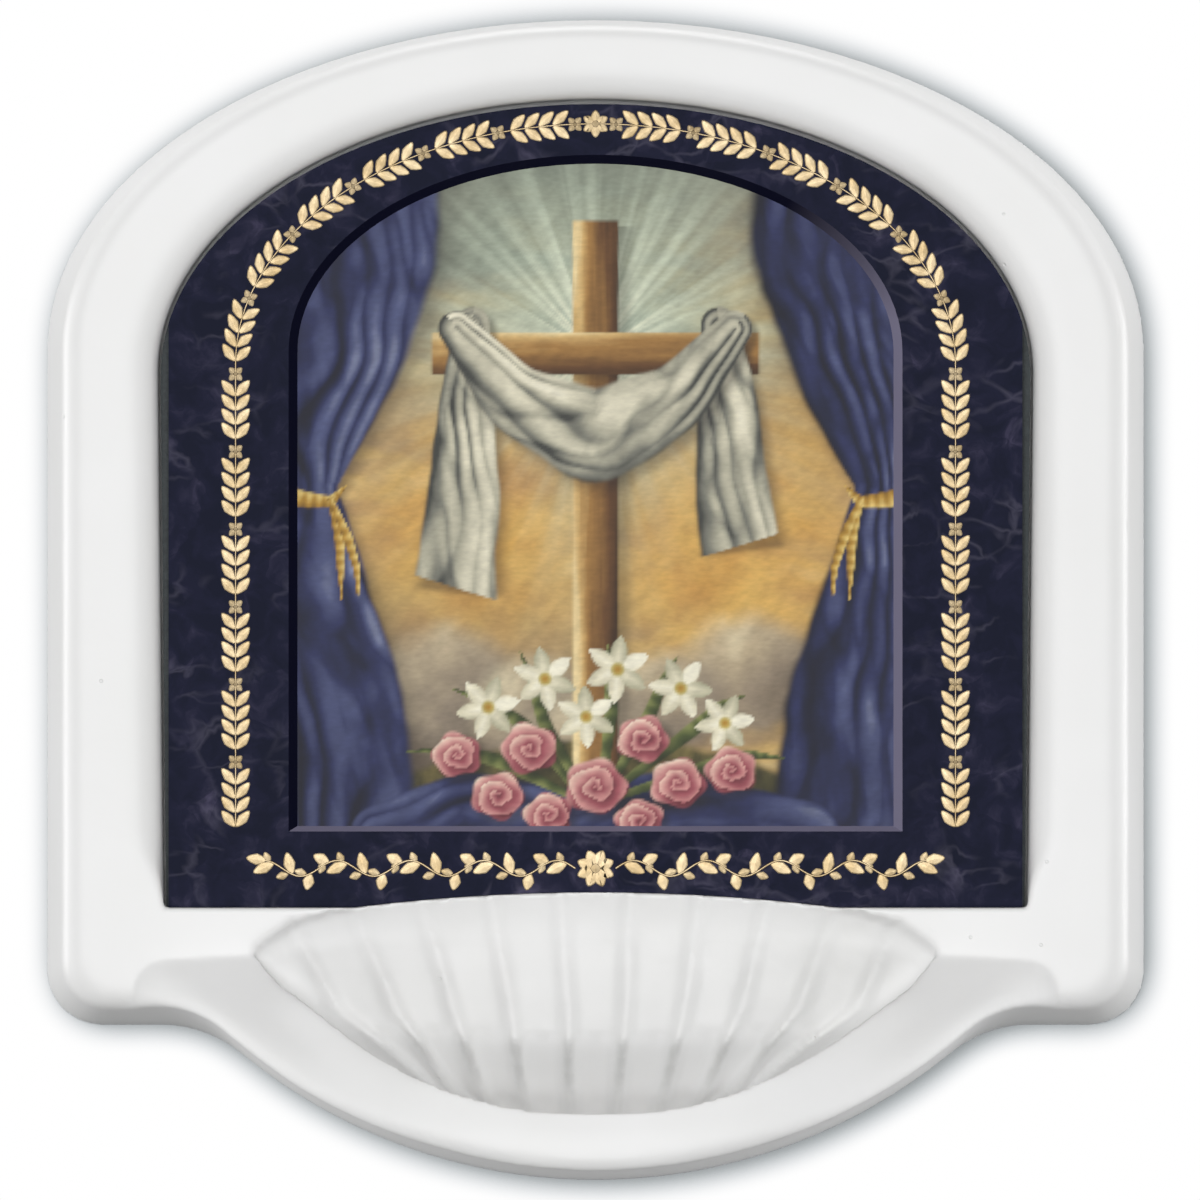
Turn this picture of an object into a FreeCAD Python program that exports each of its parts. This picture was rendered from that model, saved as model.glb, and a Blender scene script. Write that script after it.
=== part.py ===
"""Wall-hung holy water stoup: a one-piece cast font with a framed panel above a scallop-shell basin.

Frame: X to the viewer's right, Y from the front to the wall, Z up, millimetres.
The back lies on the wall plane Y = 0 and everything else is at negative Y.
The origin is the centre of the keyhole's round entry in the hanger plate.
"Depth" below is the distance from the wall, so a point's Y is minus its depth.
"""
import FreeCAD, Part
import math
import os

Vector = FreeCAD.Vector

# ---- driving dimensions: the font as cast ----
WIDTH = 174.0              # over the back edge of the plaque
HEIGHT = 184.0             # from the top of the arch to the bottom of the bowl
HANGER_DROP = 30.0         # from the top of the arch down to the origin
ARCH_RISE = 52.5           # half height of the elliptical arch
SHOULDER_HEIGHT = 24.6     # the plaque's lower edge above the bottom of the bowl
CORNER_RADIUS = 8.7        # lower corners of the plaque
NECK_RADIUS = 20.0         # hollow curve between plaque and bowl
BOWL_RADIUS = 88.8         # the bowl's outline seen from the front
PLAQUE_DEPTH = 18.0
BOWL_DEPTH = 42.5          # the lip's distance from the wall
SIDE_DRAFT = 9.0           # degrees, on the arch and the sides
BOWL_DRAFT = 2.6           # degrees, on the underside
EDGE_ROLL = 3.0            # rounding of the outer front edge
CROWN_DRAFT = 3.0          # degrees, on top of the arch
CROWN_ROLL = 1.8           # rounding of the edge there

# the rim, a slope from the plaque's face down to the lip
RIM_TOP = 37.0             # middle of the crease, above the bottom of the bowl
RIM_SLOPE = 0.9            # depth gained per millimetre down
CREASE_SAG_RADIUS = 1100.0 # the crease droops towards both sides
BULGE_HALF_WIDTH = 73.0    # where the bowl runs out into the plaque
BULGE_POWER = 2.6          # above 2 gives a flatter front
LIP_ROUNDING = 2.2         # between the rim and the front of the lip
LIP_EASE = 2.0             # width over which the bowl's front eases back at its outline

# ---- recess for the panel ----
RECESS_HALF_WIDTH = 69.3   # at the springing of its arch
RECESS_FOOT_HALF_WIDTH = 68.4
RECESS_TOP_MARGIN = 12.7   # below the top of the font
RECESS_RISE = 43.3
RECESS_FOOT = 43.3         # above the bottom of the bowl
RECESS_FLOOR = 7.9         # thickness of the wall behind the panel
ROLL_WIDTH = 5.2           # the frame rolls down into the recess
ROLL_DEPTH = 3.6
ROLL_RUNOUT = 14.0         # height in which the roll fades at the foot
SILL_HALF_WIDTH = 38.2     # the shell's top stands up into the recess
SILL_RISE = 2.4

# ---- basin ----
SHELL_HALF_WIDTH = 57.0
SHELL_RISE = 20.0          # from the shell's middle line up to its top
SHELL_MIDDLE = 26.0        # above the bottom of the bowl
SHELL_POWER = 3.0
SHELL_SINK = 6.0           # of the back wall behind the plaque's face
SHELL_SILL_HOLD = 0.35     # share of the hollow that the wall already has where it meets the sill
SHELL_CURL = 1.2           # the back wall comes forward by this where it meets the floor
CURL_HEIGHT = 12.0
FLOOR_TOP = 22.5           # where the back wall turns into the floor
FLOOR_SLOPE = 1.15         # depth gained per millimetre down
FLOOR_SIDE_LIFT = 4.0      # extra depth at the ends of the floor
WATER_FLOOR = 5.2          # above the bottom of the bowl
MOUTH_HALF_WIDTH = 54.6    # of the opening in the rim
MOUTH_FOOT = 10.2          # lowest point of the opening, above the bottom
MOUTH_RISE = 27.0          # from there to its widest place
MOUTH_POWER = 2.77
LIP_LEAN = 0.9             # the lip's inner wall: drop per millimetre back

# ribs of the shell
RIB_PITCH = 7.4            # at the lip
RIB_FAN = 0.105            # pitch gained per millimetre up
RIBS_EACH_SIDE = 5
GROOVE_HALF_WIDTH = 1.35
GROOVE_WALL_DEPTH = 0.65   # on the back wall
GROOVE_FLOOR_DEPTH = 1.9   # on the floor
RIB_BEND_TOP = 27.0        # height above the bottom where the outer ribs begin to bend in
RIB_BEND = 0.022           # share of its place that the outermost groove loses per millimetre down

# ---- framed panel, from the wall outwards ----
FIT_CLEARANCE = 0.4        # at the sides in the recess
SEAT_GAP = 0.05            # the panel stands on the sill
TAPE_THICKNESS = 0.8
TAPE_WIDTH = 12.0
TAPE_LENGTH = 90.0
TAPE_STRIPS = 3
TAPE_SPACING = 42.0
BOARD_THICKNESS = 3.0
SHEET_THICKNESS = 0.4
SHEET_INSET = 1.5
MAT_THICKNESS = 1.4
MAT_HALF_WIDTH = 67.6
WINDOW_HALF_WIDTH = 47.2
WINDOW_RISE = 29.8
WINDOW_TOP_MARGIN = 22.9   # from the top of the font to the window
WINDOW_FOOT = 56.2         # above the bottom of the bowl
WINDOW_FOOT_BEVEL = 0.85   # the bevel is steeper along the window's foot

# ---- hanger in the back ----
PLATE_LENGTH = 44.0
PLATE_HEIGHT = 18.0
PLATE_THICKNESS = 1.2
PLATE_CLEARANCE = 0.3
PLATE_CORNER = 3.0
KEYHOLE_ENTRY = 8.5        # diameter for the wall screw's head
KEYHOLE_SLOT = 4.2         # diameter for its shank
KEYHOLE_TRAVEL = 6.0
HEAD_ROOM = 3.4            # free depth behind the plate
HEAD_ROOM_MARGIN = 2.0     # round the keyhole
SCREW_SPACING = 32.0
SCREW_DIAMETER = 2.9
SCREW_HEAD_DIAMETER = 5.2
SCREW_LENGTH = 5.6
SCREW_FIT = 0.05           # all round the screw
DRIVE_WIDTH = 0.6          # cross recess in the screw's head
DRIVE_SPAN = 2.8
DRIVE_DEPTH = 0.6

# ---- fineness of the moulded surfaces ----
FRONT_STEP = 1.6
SHELL_STEP = 1.1
ROLL_STEPS = 5

# ---- derived places ----
TOP = HANGER_DROP
BOTTOM = TOP - HEIGHT
SPRING = TOP - ARCH_RISE
HALF = WIDTH / 2
SHOULDER = BOTTOM + SHOULDER_HEIGHT
BOWL_CENTRE = BOTTOM + BOWL_RADIUS
RECESS_TOP = TOP - RECESS_TOP_MARGIN
RECESS_SPRING = RECESS_TOP - RECESS_RISE
FOOT = BOTTOM + RECESS_FOOT
SPLIT = FOOT + SILL_RISE + 1.5      # height between the plain frame and the moulded lower part
TAPE_DEPTH = RECESS_FLOOR + TAPE_THICKNESS
BOARD_DEPTH = TAPE_DEPTH + BOARD_THICKNESS
SHEET_DEPTH = BOARD_DEPTH + SHEET_THICKNESS
MAT_DEPTH = SHEET_DEPTH + MAT_THICKNESS
WINDOW_TOP = TOP - WINDOW_TOP_MARGIN
WINDOW_SPRING = WINDOW_TOP - WINDOW_RISE
WINDOW_BOTTOM = BOTTOM + WINDOW_FOOT
BEYOND = 8.0                        # how far a cutting body reaches past the font


def slope_shift(depth, degrees):
    """Inward shift of a drafted wall at a depth from the wall plane."""
    return depth * math.tan(math.radians(degrees))


def polar(centre_x, centre_z, radius, degrees, y):
    angle = math.radians(degrees)
    return Vector(centre_x + radius * math.cos(angle), y, centre_z + radius * math.sin(angle))


def arch_edges(half, rise, spring, y):
    """The two halves of an elliptical arch, from the right springing to the left one."""
    crown = Vector(0, y, spring + rise)
    foot = Vector(half, y, spring)
    centre = Vector(0, y, spring)
    if half >= rise:
        ellipse = Part.Ellipse(foot, crown, centre)
        return [Part.Edge(ellipse, 0, math.pi / 2), Part.Edge(ellipse, math.pi / 2, math.pi)]
    ellipse = Part.Ellipse(crown, Vector(-half, y, spring), centre)
    return [Part.Edge(ellipse, -math.pi / 2, 0), Part.Edge(ellipse, 0, math.pi / 2)]


def line(ax, az, bx, bz, y):
    return Part.LineSegment(Vector(ax, y, az), Vector(bx, y, bz)).toShape()


def arc(centre_x, centre_z, radius, start, end, y):
    """Arc in the XZ plane from one angle to another, in degrees."""
    points = [polar(centre_x, centre_z, radius, angle, y) for angle in (start, (start + end) / 2, end)]
    return Part.Arc(*points).toShape()


def font_outline(depth, extra=0.0):
    """The font's outline at a depth; extra moves the arch, the sides and the shoulders further in."""
    y = -depth
    inset = slope_shift(depth, SIDE_DRAFT) + extra
    crown = slope_shift(depth, CROWN_DRAFT) + extra * CROWN_ROLL / EDGE_ROLL
    half = HALF - inset
    shoulder = SHOULDER + inset
    bowl = BOWL_RADIUS - slope_shift(depth, BOWL_DRAFT) - extra
    corner = CORNER_RADIUS - inset / 2
    reach = bowl + NECK_RADIUS
    neck_z = shoulder - NECK_RADIUS
    neck_x = math.sqrt(reach ** 2 - (neck_z - BOWL_CENTRE) ** 2)
    turn = math.degrees(math.atan2(BOWL_CENTRE - neck_z, neck_x))
    corner_x = half - corner
    corner_z = shoulder + corner
    edges = arch_edges(half, ARCH_RISE - crown, SPRING, y)
    edges.append(line(-half, SPRING, -half, corner_z, y))
    edges.append(arc(-corner_x, corner_z, corner, 180, 270, y))
    edges.append(line(-corner_x, shoulder, -neck_x, shoulder, y))
    edges.append(arc(-neck_x, neck_z, NECK_RADIUS, 90, turn, y))
    edges.append(arc(0, BOWL_CENTRE, bowl, 180 + turn, 360 - turn, y))
    edges.append(arc(neck_x, neck_z, NECK_RADIUS, 180 - turn, 90, y))
    edges.append(line(neck_x, shoulder, corner_x, shoulder, y))
    edges.append(arc(corner_x, corner_z, corner, 270, 360, y))
    edges.append(line(half, corner_z, half, SPRING, y))
    return Part.Wire(edges)


def soft_max(a, b, radius):
    """The larger of two values, rounded where they cross."""
    if abs(a - b) >= 2 * radius:
        return max(a, b)
    share = (2 * radius - abs(a - b)) / (2 * radius)
    return max(a, b) + share * share * radius / 2


def soft_min(a, b, radius):
    return -soft_max(-a, -b, radius)


def edge_distance(x, z, depth):
    """Distance in from the drafted outer wall, for the lower part of the font."""
    inset = slope_shift(depth, SIDE_DRAFT)
    across = HALF - inset - abs(x)
    up = z - SHOULDER - inset
    corner = CORNER_RADIUS - inset / 2
    if across < corner and up < corner:
        plaque = corner - math.hypot(corner - across, corner - up)
    else:
        plaque = min(across, up)
    bowl = BOWL_RADIUS - slope_shift(depth, BOWL_DRAFT) - math.hypot(x, z - BOWL_CENTRE)
    return soft_max(plaque, bowl, NECK_RADIUS / 6)


def bulge_depth(x, z):
    """Depth of the bowl's front: the sloping rim and the lip, eased back at the outer edge."""
    side = abs(x) / BULGE_HALF_WIDTH
    bulge = PLAQUE_DEPTH + (BOWL_DEPTH - PLAQUE_DEPTH) * (1 - side ** BULGE_POWER)
    crease = BOTTOM + RIM_TOP - x * x / (2 * CREASE_SAG_RADIUS)
    rim = PLAQUE_DEPTH + (crease - z) * RIM_SLOPE
    depth = soft_min(rim, bulge, LIP_ROUNDING)
    shy = max(LIP_EASE - edge_distance(x, z, depth), 0)
    return depth - shy * shy / (2 * LIP_EASE)


def front_depth(x, z):
    return max(bulge_depth(x, z), PLAQUE_DEPTH)


def rib_relief(x, z, floor_share):
    """Depth of the shell's grooves, which fan out from below the lip."""
    up = z - BOTTOM
    pitch = RIB_PITCH + RIB_FAN * (up - MOUTH_FOOT)
    bend = RIB_BEND * max(RIB_BEND_TOP - up, 0)
    relief = 0.0
    for rib in range(RIBS_EACH_SIDE):
        outward = (rib + 0.5) / (RIBS_EACH_SIDE - 0.5)
        place = (rib + 0.5) * pitch * (1 - bend * outward ** 2)
        relief = max(relief, math.exp(-((abs(x) - place) / GROOVE_HALF_WIDTH) ** 2))
    return relief * (GROOVE_WALL_DEPTH + (GROOVE_FLOOR_DEPTH - GROOVE_WALL_DEPTH) * floor_share)


def shell_depth(x, z):
    """Depth of the basin's back wall and floor."""
    up = max(z - BOTTOM - SHELL_MIDDLE, 0) / SHELL_RISE
    hold = SHELL_SILL_HOLD * max(1 - (x / SILL_HALF_WIDTH) ** 2, 0)
    rim = (abs(x) / SHELL_HALF_WIDTH) ** SHELL_POWER + (1 - hold) * up ** SHELL_POWER
    if rim < 1:
        wall = PLAQUE_DEPTH - SHELL_SINK * math.sqrt(1 - rim)
    else:
        wall = PLAQUE_DEPTH + SHELL_SINK * (rim - 1)
    below = BOTTOM + FLOOR_TOP - z
    wall += SHELL_CURL * (max(CURL_HEIGHT + below, 0) / CURL_HEIGHT) ** 2
    floor = PLAQUE_DEPTH - SHELL_SINK + SHELL_CURL + FLOOR_SLOPE * below
    floor += FLOOR_SIDE_LIFT * (x / MOUTH_HALF_WIDTH) ** 2
    share = min(max((floor - wall) / 3 + 0.5, 0), 1)
    return soft_max(wall, floor, 1.0) - rib_relief(x, z, share)


def moulded_face(depth_at, half, low, high, step):
    """A smooth face through the depths on an even grid, symmetrical about X = 0."""
    columns = 2 * math.ceil(half / step) + 1
    rows = math.ceil((high - low) / step) + 1
    across = 2 * half / (columns - 1)
    up = (high - low) / (rows - 1)
    grid = [[depth_at(-half + i * across, low + j * up) for j in range(rows)] for i in range(columns)]
    surface = Part.BSplineSurface()
    surface.interpolate(grid, -half, across, low, up)
    face = surface.toShape()
    # the grid's height is along Z: turn it to face the front, depth along -Y
    face.rotate(Vector(0, 0, 0), Vector(1, 0, 0), 90)
    return face


def plain_plaque():
    """The whole outline up to the plaque's face, with its front edge rolled over."""
    shoulder = PLAQUE_DEPTH - EDGE_ROLL
    sections = [font_outline(0), font_outline(shoulder)]
    for step in range(1, ROLL_STEPS + 1):
        angle = math.pi / 2 * step / ROLL_STEPS
        depth = shoulder + EDGE_ROLL * math.sin(angle)
        sections.append(font_outline(depth, EDGE_ROLL * (1 - math.cos(angle))))
    return Part.makeLoft(sections, True, True)


def bowl_bulge():
    """The part of the bowl that stands out in front of the plaque."""
    near = PLAQUE_DEPTH - EDGE_ROLL
    far = BOWL_DEPTH + BEYOND
    block = Part.makeLoft([font_outline(near), font_outline(far)], True, True)
    high = BOTTOM + RIM_TOP + 2 * EDGE_ROLL
    low = BOTTOM - BEYOND
    block = block.common(Part.makeBox(WIDTH, far, high - low, Vector(-HALF, -far, low)))
    front = moulded_face(bulge_depth, HALF, low, high + BEYOND, FRONT_STEP)
    return block.cut(front.extrude(Vector(0, -2 * far, 0)))


def moulded_font():
    return plain_plaque().fuse(bowl_bulge())


def recess_outline(depth, grow=0.0, inset=0.0):
    """Outline of the recess; grow widens its arch and sides, inset shrinks it all round."""
    y = -depth
    half = RECESS_HALF_WIDTH + grow - inset
    foot_half = RECESS_FOOT_HALF_WIDTH - inset
    foot = FOOT + inset
    runout = foot + ROLL_RUNOUT
    taper = (RECESS_HALF_WIDTH - RECESS_FOOT_HALF_WIDTH) / (RECESS_SPRING - FOOT)
    low_half = foot_half + grow + taper * ROLL_RUNOUT
    middle = foot + ROLL_RUNOUT / 2
    edges = arch_edges(half, RECESS_RISE + grow - inset, RECESS_SPRING, y)
    edges.append(line(-half, RECESS_SPRING, -low_half, runout, y))
    for side in (-1, 1):
        bend = Part.BezierCurve()
        bend.setPoles([Vector(side * low_half, y, runout), Vector(side * low_half, y, middle),
                       Vector(side * foot_half, y, middle), Vector(side * foot_half, y, foot)])
        edges.append(bend.toShape())
    edges.append(line(low_half, runout, half, RECESS_SPRING, y))
    edges.append(line(-foot_half, foot, -SILL_HALF_WIDTH, foot, y))
    edges.append(Part.Arc(Vector(-SILL_HALF_WIDTH, y, foot), Vector(0, y, foot + SILL_RISE),
                          Vector(SILL_HALF_WIDTH, y, foot)).toShape())
    edges.append(line(SILL_HALF_WIDTH, foot, foot_half, foot, y))
    return Part.Wire(Part.__sortEdges__(edges))


def plate_between(outline, near, far):
    """A flat piece with one outline between two depths from the wall."""
    return Part.Face(outline).extrude(Vector(0, near - far, 0))


def recess_cutter():
    """The recess with the frame's roll into it, which starts just outside the plaque's face."""
    sections = []
    for step in range(-1, ROLL_STEPS + 1):
        angle = math.pi / 2 * step / ROLL_STEPS
        drop = math.copysign(ROLL_DEPTH * (1 - math.cos(angle)), step)
        sections.append(recess_outline(PLAQUE_DEPTH - drop, ROLL_WIDTH * (1 - math.sin(angle))))
    roll = Part.makeLoft(sections, True, True)
    deep = recess_outline(RECESS_FLOOR)
    return roll.fuse(plate_between(deep, RECESS_FLOOR, PLAQUE_DEPTH - ROLL_DEPTH))


def mouth_body():
    """All that lies inside the basin's opening, leaning in and down behind the lip."""
    far = BOWL_DEPTH + BEYOND
    points = []
    count = 16
    widest = SHELL_HALF_WIDTH + 1
    for i in range(-count, count + 1):
        x = widest * i / count
        z = BOTTOM + MOUTH_FOOT + MOUTH_RISE * (abs(x) / MOUTH_HALF_WIDTH) ** MOUTH_POWER
        points.append(Vector(x, -far, z + (far - front_depth(x, z)) * LIP_LEAN))
    curve = Part.BSplineCurve()
    curve.interpolate(points)
    high = SPLIT + BEYOND + far * LIP_LEAN
    rim = [curve.toShape(), line(widest, points[-1].z, widest, high, -far),
           line(widest, high, -widest, high, -far), line(-widest, high, -widest, points[0].z, -far)]
    return Part.Face(Part.Wire(rim)).extrude(Vector(0, far, -far * LIP_LEAN))


def basin_cutter():
    shell = moulded_face(shell_depth, SHELL_HALF_WIDTH + BEYOND / 2, BOTTOM + WATER_FLOOR,
                         SPLIT + BEYOND / 2, SHELL_STEP)
    return shell.extrude(Vector(0, -BOWL_DEPTH - BEYOND, 0)).common(mouth_body())


def cylinder(x, z, diameter, near, far):
    """A round bar along Y between two depths."""
    return Part.makeCylinder(diameter / 2, far - near, Vector(x, -near, z), Vector(0, -1, 0))


def slot_body(diameter, travel, near, far):
    """An upright slot that starts at the origin and ends above it."""
    bar = Part.makeBox(diameter, far - near, travel, Vector(-diameter / 2, -far, 0))
    return bar.fuse([cylinder(0, 0, diameter, near, far), cylinder(0, travel, diameter, near, far)])


def rounded_plate(length, height, corner, near, far, middle):
    plate = Part.makeBox(length, far - near, height, Vector(-length / 2, -far, middle - height / 2))
    upright = [edge for edge in plate.Edges if edge.BoundBox.YLength > (far - near) / 2]
    return plate.makeFillet(corner, upright)


def screw_places():
    return [(side * SCREW_SPACING / 2, KEYHOLE_TRAVEL / 2) for side in (-1, 1)]


def screw_body(x, z, fit=0.0):
    """A countersunk screw with its head flush with the plate."""
    head = Part.makeCone(SCREW_HEAD_DIAMETER / 2 + fit, SCREW_DIAMETER / 2 + fit, PLATE_THICKNESS,
                         Vector(x, 0, z), Vector(0, -1, 0))
    return head.fuse(cylinder(x, z, SCREW_DIAMETER + 2 * fit, 0, SCREW_LENGTH + fit))


def hanger_screws():
    screws = []
    for x, z in screw_places():
        screw = screw_body(x, z)
        for across, up in ((DRIVE_SPAN, DRIVE_WIDTH), (DRIVE_WIDTH, DRIVE_SPAN)):
            screw = screw.cut(Part.makeBox(across, DRIVE_DEPTH, up,
                                           Vector(x - across / 2, -DRIVE_DEPTH, z - up / 2)))
        screws.append(screw)
    return Part.makeCompound(screws)


def hanger_plate():
    plate = rounded_plate(PLATE_LENGTH, PLATE_HEIGHT, PLATE_CORNER, 0, PLATE_THICKNESS, KEYHOLE_TRAVEL / 2)
    plate = plate.cut(cylinder(0, 0, KEYHOLE_ENTRY, -1, PLATE_THICKNESS + 1))
    plate = plate.cut(slot_body(KEYHOLE_SLOT, KEYHOLE_TRAVEL, -1, PLATE_THICKNESS + 1))
    for x, z in screw_places():
        plate = plate.cut(screw_body(x, z, SCREW_FIT))
    return plate


def hanger_recess():
    seat = rounded_plate(PLATE_LENGTH + 2 * PLATE_CLEARANCE, PLATE_HEIGHT + 2 * PLATE_CLEARANCE,
                         PLATE_CORNER + PLATE_CLEARANCE, 0, PLATE_THICKNESS, KEYHOLE_TRAVEL / 2)
    room = slot_body(KEYHOLE_ENTRY + 2 * HEAD_ROOM_MARGIN, KEYHOLE_TRAVEL, 0, PLATE_THICKNESS + HEAD_ROOM)
    pilots = [cylinder(x, z, SCREW_DIAMETER + 2 * SCREW_FIT, 0, SCREW_LENGTH + SCREW_FIT)
              for x, z in screw_places()]
    return seat.fuse([room] + pilots)


def font_body():
    body = moulded_font()
    body = body.cut(recess_cutter())
    body = body.cut(basin_cutter())
    return body.cut(hanger_recess())


def window_outline(depth, grow=0.0, foot_grow=0.0):
    y = -depth
    half = WINDOW_HALF_WIDTH + grow
    foot = WINDOW_BOTTOM - foot_grow
    edges = arch_edges(half, WINDOW_RISE + grow, WINDOW_SPRING, y)
    edges.append(line(-half, WINDOW_SPRING, -half, foot, y))
    edges.append(line(-half, foot, half, foot, y))
    edges.append(line(half, foot, half, WINDOW_SPRING, y))
    return Part.Wire(edges)


def straight_sided(piece, half):
    """Trim a piece of the panel to two upright edges."""
    box = Part.makeBox(2 * half, BEYOND * 4, HEIGHT, Vector(-half, -BEYOND * 4, BOTTOM))
    return piece.common(box)


def on_the_sill(piece):
    """Let a piece that is clear of the recess all round down on to its sill."""
    piece.translate(Vector(0, 0, SEAT_GAP - FIT_CLEARANCE))
    return piece


def window_mat():
    """The mat with its bevelled window."""
    mat = plate_between(recess_outline(SHEET_DEPTH, inset=FIT_CLEARANCE), SHEET_DEPTH, MAT_DEPTH)
    mat = straight_sided(on_the_sill(mat), MAT_HALF_WIDTH)
    back = window_outline(SHEET_DEPTH)
    front = window_outline(MAT_DEPTH, MAT_THICKNESS, WINDOW_FOOT_BEVEL)
    return mat.cut(Part.makeLoft([back, front], True, True))


def picture_sheet():
    inset = FIT_CLEARANCE + SHEET_INSET
    sheet = plate_between(recess_outline(BOARD_DEPTH, inset=inset), BOARD_DEPTH, SHEET_DEPTH)
    return straight_sided(on_the_sill(sheet), MAT_HALF_WIDTH - SHEET_INSET)


def backing_board():
    board = plate_between(recess_outline(TAPE_DEPTH, inset=FIT_CLEARANCE), TAPE_DEPTH, BOARD_DEPTH)
    return on_the_sill(board)


def mounting_tape():
    middle = (RECESS_TOP + FOOT) / 2
    strips = []
    for i in range(TAPE_STRIPS):
        z = middle + (i - (TAPE_STRIPS - 1) / 2) * TAPE_SPACING - TAPE_WIDTH / 2
        corner = Vector(-TAPE_LENGTH / 2, -TAPE_DEPTH, z)
        strips.append(Part.makeBox(TAPE_LENGTH, TAPE_THICKNESS, TAPE_WIDTH, corner))
    return Part.makeCompound(strips)


PIECES = {
    "font_body": font_body,
    "backing_board": backing_board,
    "picture_sheet": picture_sheet,
    "window_mat": window_mat,
    "mounting_tape": mounting_tape,
    "hanger_plate": hanger_plate,
    "hanger_screws": hanger_screws,
}


def main():
    os.makedirs("parts", exist_ok=True)
    for name, make in PIECES.items():
        shape = make()
        shape.exportStep("parts/" + name + ".step")
        state = "valid" if shape.isValid() else "INVALID"
        print(name, len(shape.Solids), state, round(shape.Volume), "mm3")


main()
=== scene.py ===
"""Wall-hung holy water stoup: the looks of its cast body, framed panel and hanger.

Metres. X to the viewer's right, Y from the front into the wall, Z up; the back lies on Y = 0.
"Depth" below is the distance from the wall, so a point's Y is minus its depth.
"""
import math

import bmesh
import bpy
import numpy as np
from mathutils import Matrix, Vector


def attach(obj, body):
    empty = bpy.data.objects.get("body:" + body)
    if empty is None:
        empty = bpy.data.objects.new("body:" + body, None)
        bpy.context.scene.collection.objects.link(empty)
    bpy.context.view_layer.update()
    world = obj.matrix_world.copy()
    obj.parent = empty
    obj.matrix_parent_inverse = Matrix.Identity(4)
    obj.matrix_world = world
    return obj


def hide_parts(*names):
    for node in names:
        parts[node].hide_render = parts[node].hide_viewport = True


MM = 0.001

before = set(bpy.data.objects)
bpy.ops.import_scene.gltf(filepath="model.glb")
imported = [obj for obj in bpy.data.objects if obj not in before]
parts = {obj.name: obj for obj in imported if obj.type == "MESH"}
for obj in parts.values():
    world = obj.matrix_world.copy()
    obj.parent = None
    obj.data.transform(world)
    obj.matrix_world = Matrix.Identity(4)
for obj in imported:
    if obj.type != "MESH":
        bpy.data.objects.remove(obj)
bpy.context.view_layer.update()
scene = bpy.context.scene


# ---- materials ----
def linear(code):
    """sRGB hex to the linear colour that a shader wants."""
    code = code.lstrip("#")
    steps = [int(code[i:i + 2], 16) / 255 for i in (0, 2, 4)]
    return [s / 12.92 if s <= 0.04045 else ((s + 0.055) / 1.055) ** 2.4 for s in steps] + [1.0]


def add_node(tree, kind, inputs=None, stops=(), feeds=None, **settings):
    """Adds a shader node; an input's value is a number, a colour or another node's output.

    The stops of a colour ramp are (place, sRGB hex) pairs. The first output goes into the socket "feeds".
    """
    made = tree.nodes.new("ShaderNode" + kind)
    while stops and len(made.color_ramp.elements) < len(stops):
        made.color_ramp.elements.new(0.5)
    for number, (stop, code) in enumerate(stops):
        made.color_ramp.elements[number].position = stop
        made.color_ramp.elements[number].color = linear(code)
    for name, value in settings.items():
        setattr(made, name, value)
    for socket, value in (inputs or {}).items():
        if isinstance(value, bpy.types.NodeSocket):
            tree.links.new(value, made.inputs[socket])
        else:
            made.inputs[socket].default_value = value
    if feeds:
        tree.links.new(made.outputs[0], feeds)
    return made


def new_finish(name, roughness, metallic=0.0):
    """A material, its tree, its shader and the place on the piece; glazes, varnishes and print share one IOR."""
    made = bpy.data.materials.new(name)
    made.use_nodes = True
    tree = made.node_tree
    shader = tree.nodes["Principled BSDF"]
    shader.inputs["Roughness"].default_value = roughness
    shader.inputs["Metallic"].default_value = metallic
    shader.inputs["IOR"].default_value = 1.5
    return made, tree, shader, add_node(tree, "TexCoord").outputs["Object"]


def per_metre(size_mm):
    """Scale of a pattern whose cells are this many millimetres across."""
    return 1 / (size_mm * MM)


def grey(value):
    return [value, value, value, 1.0]


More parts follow.
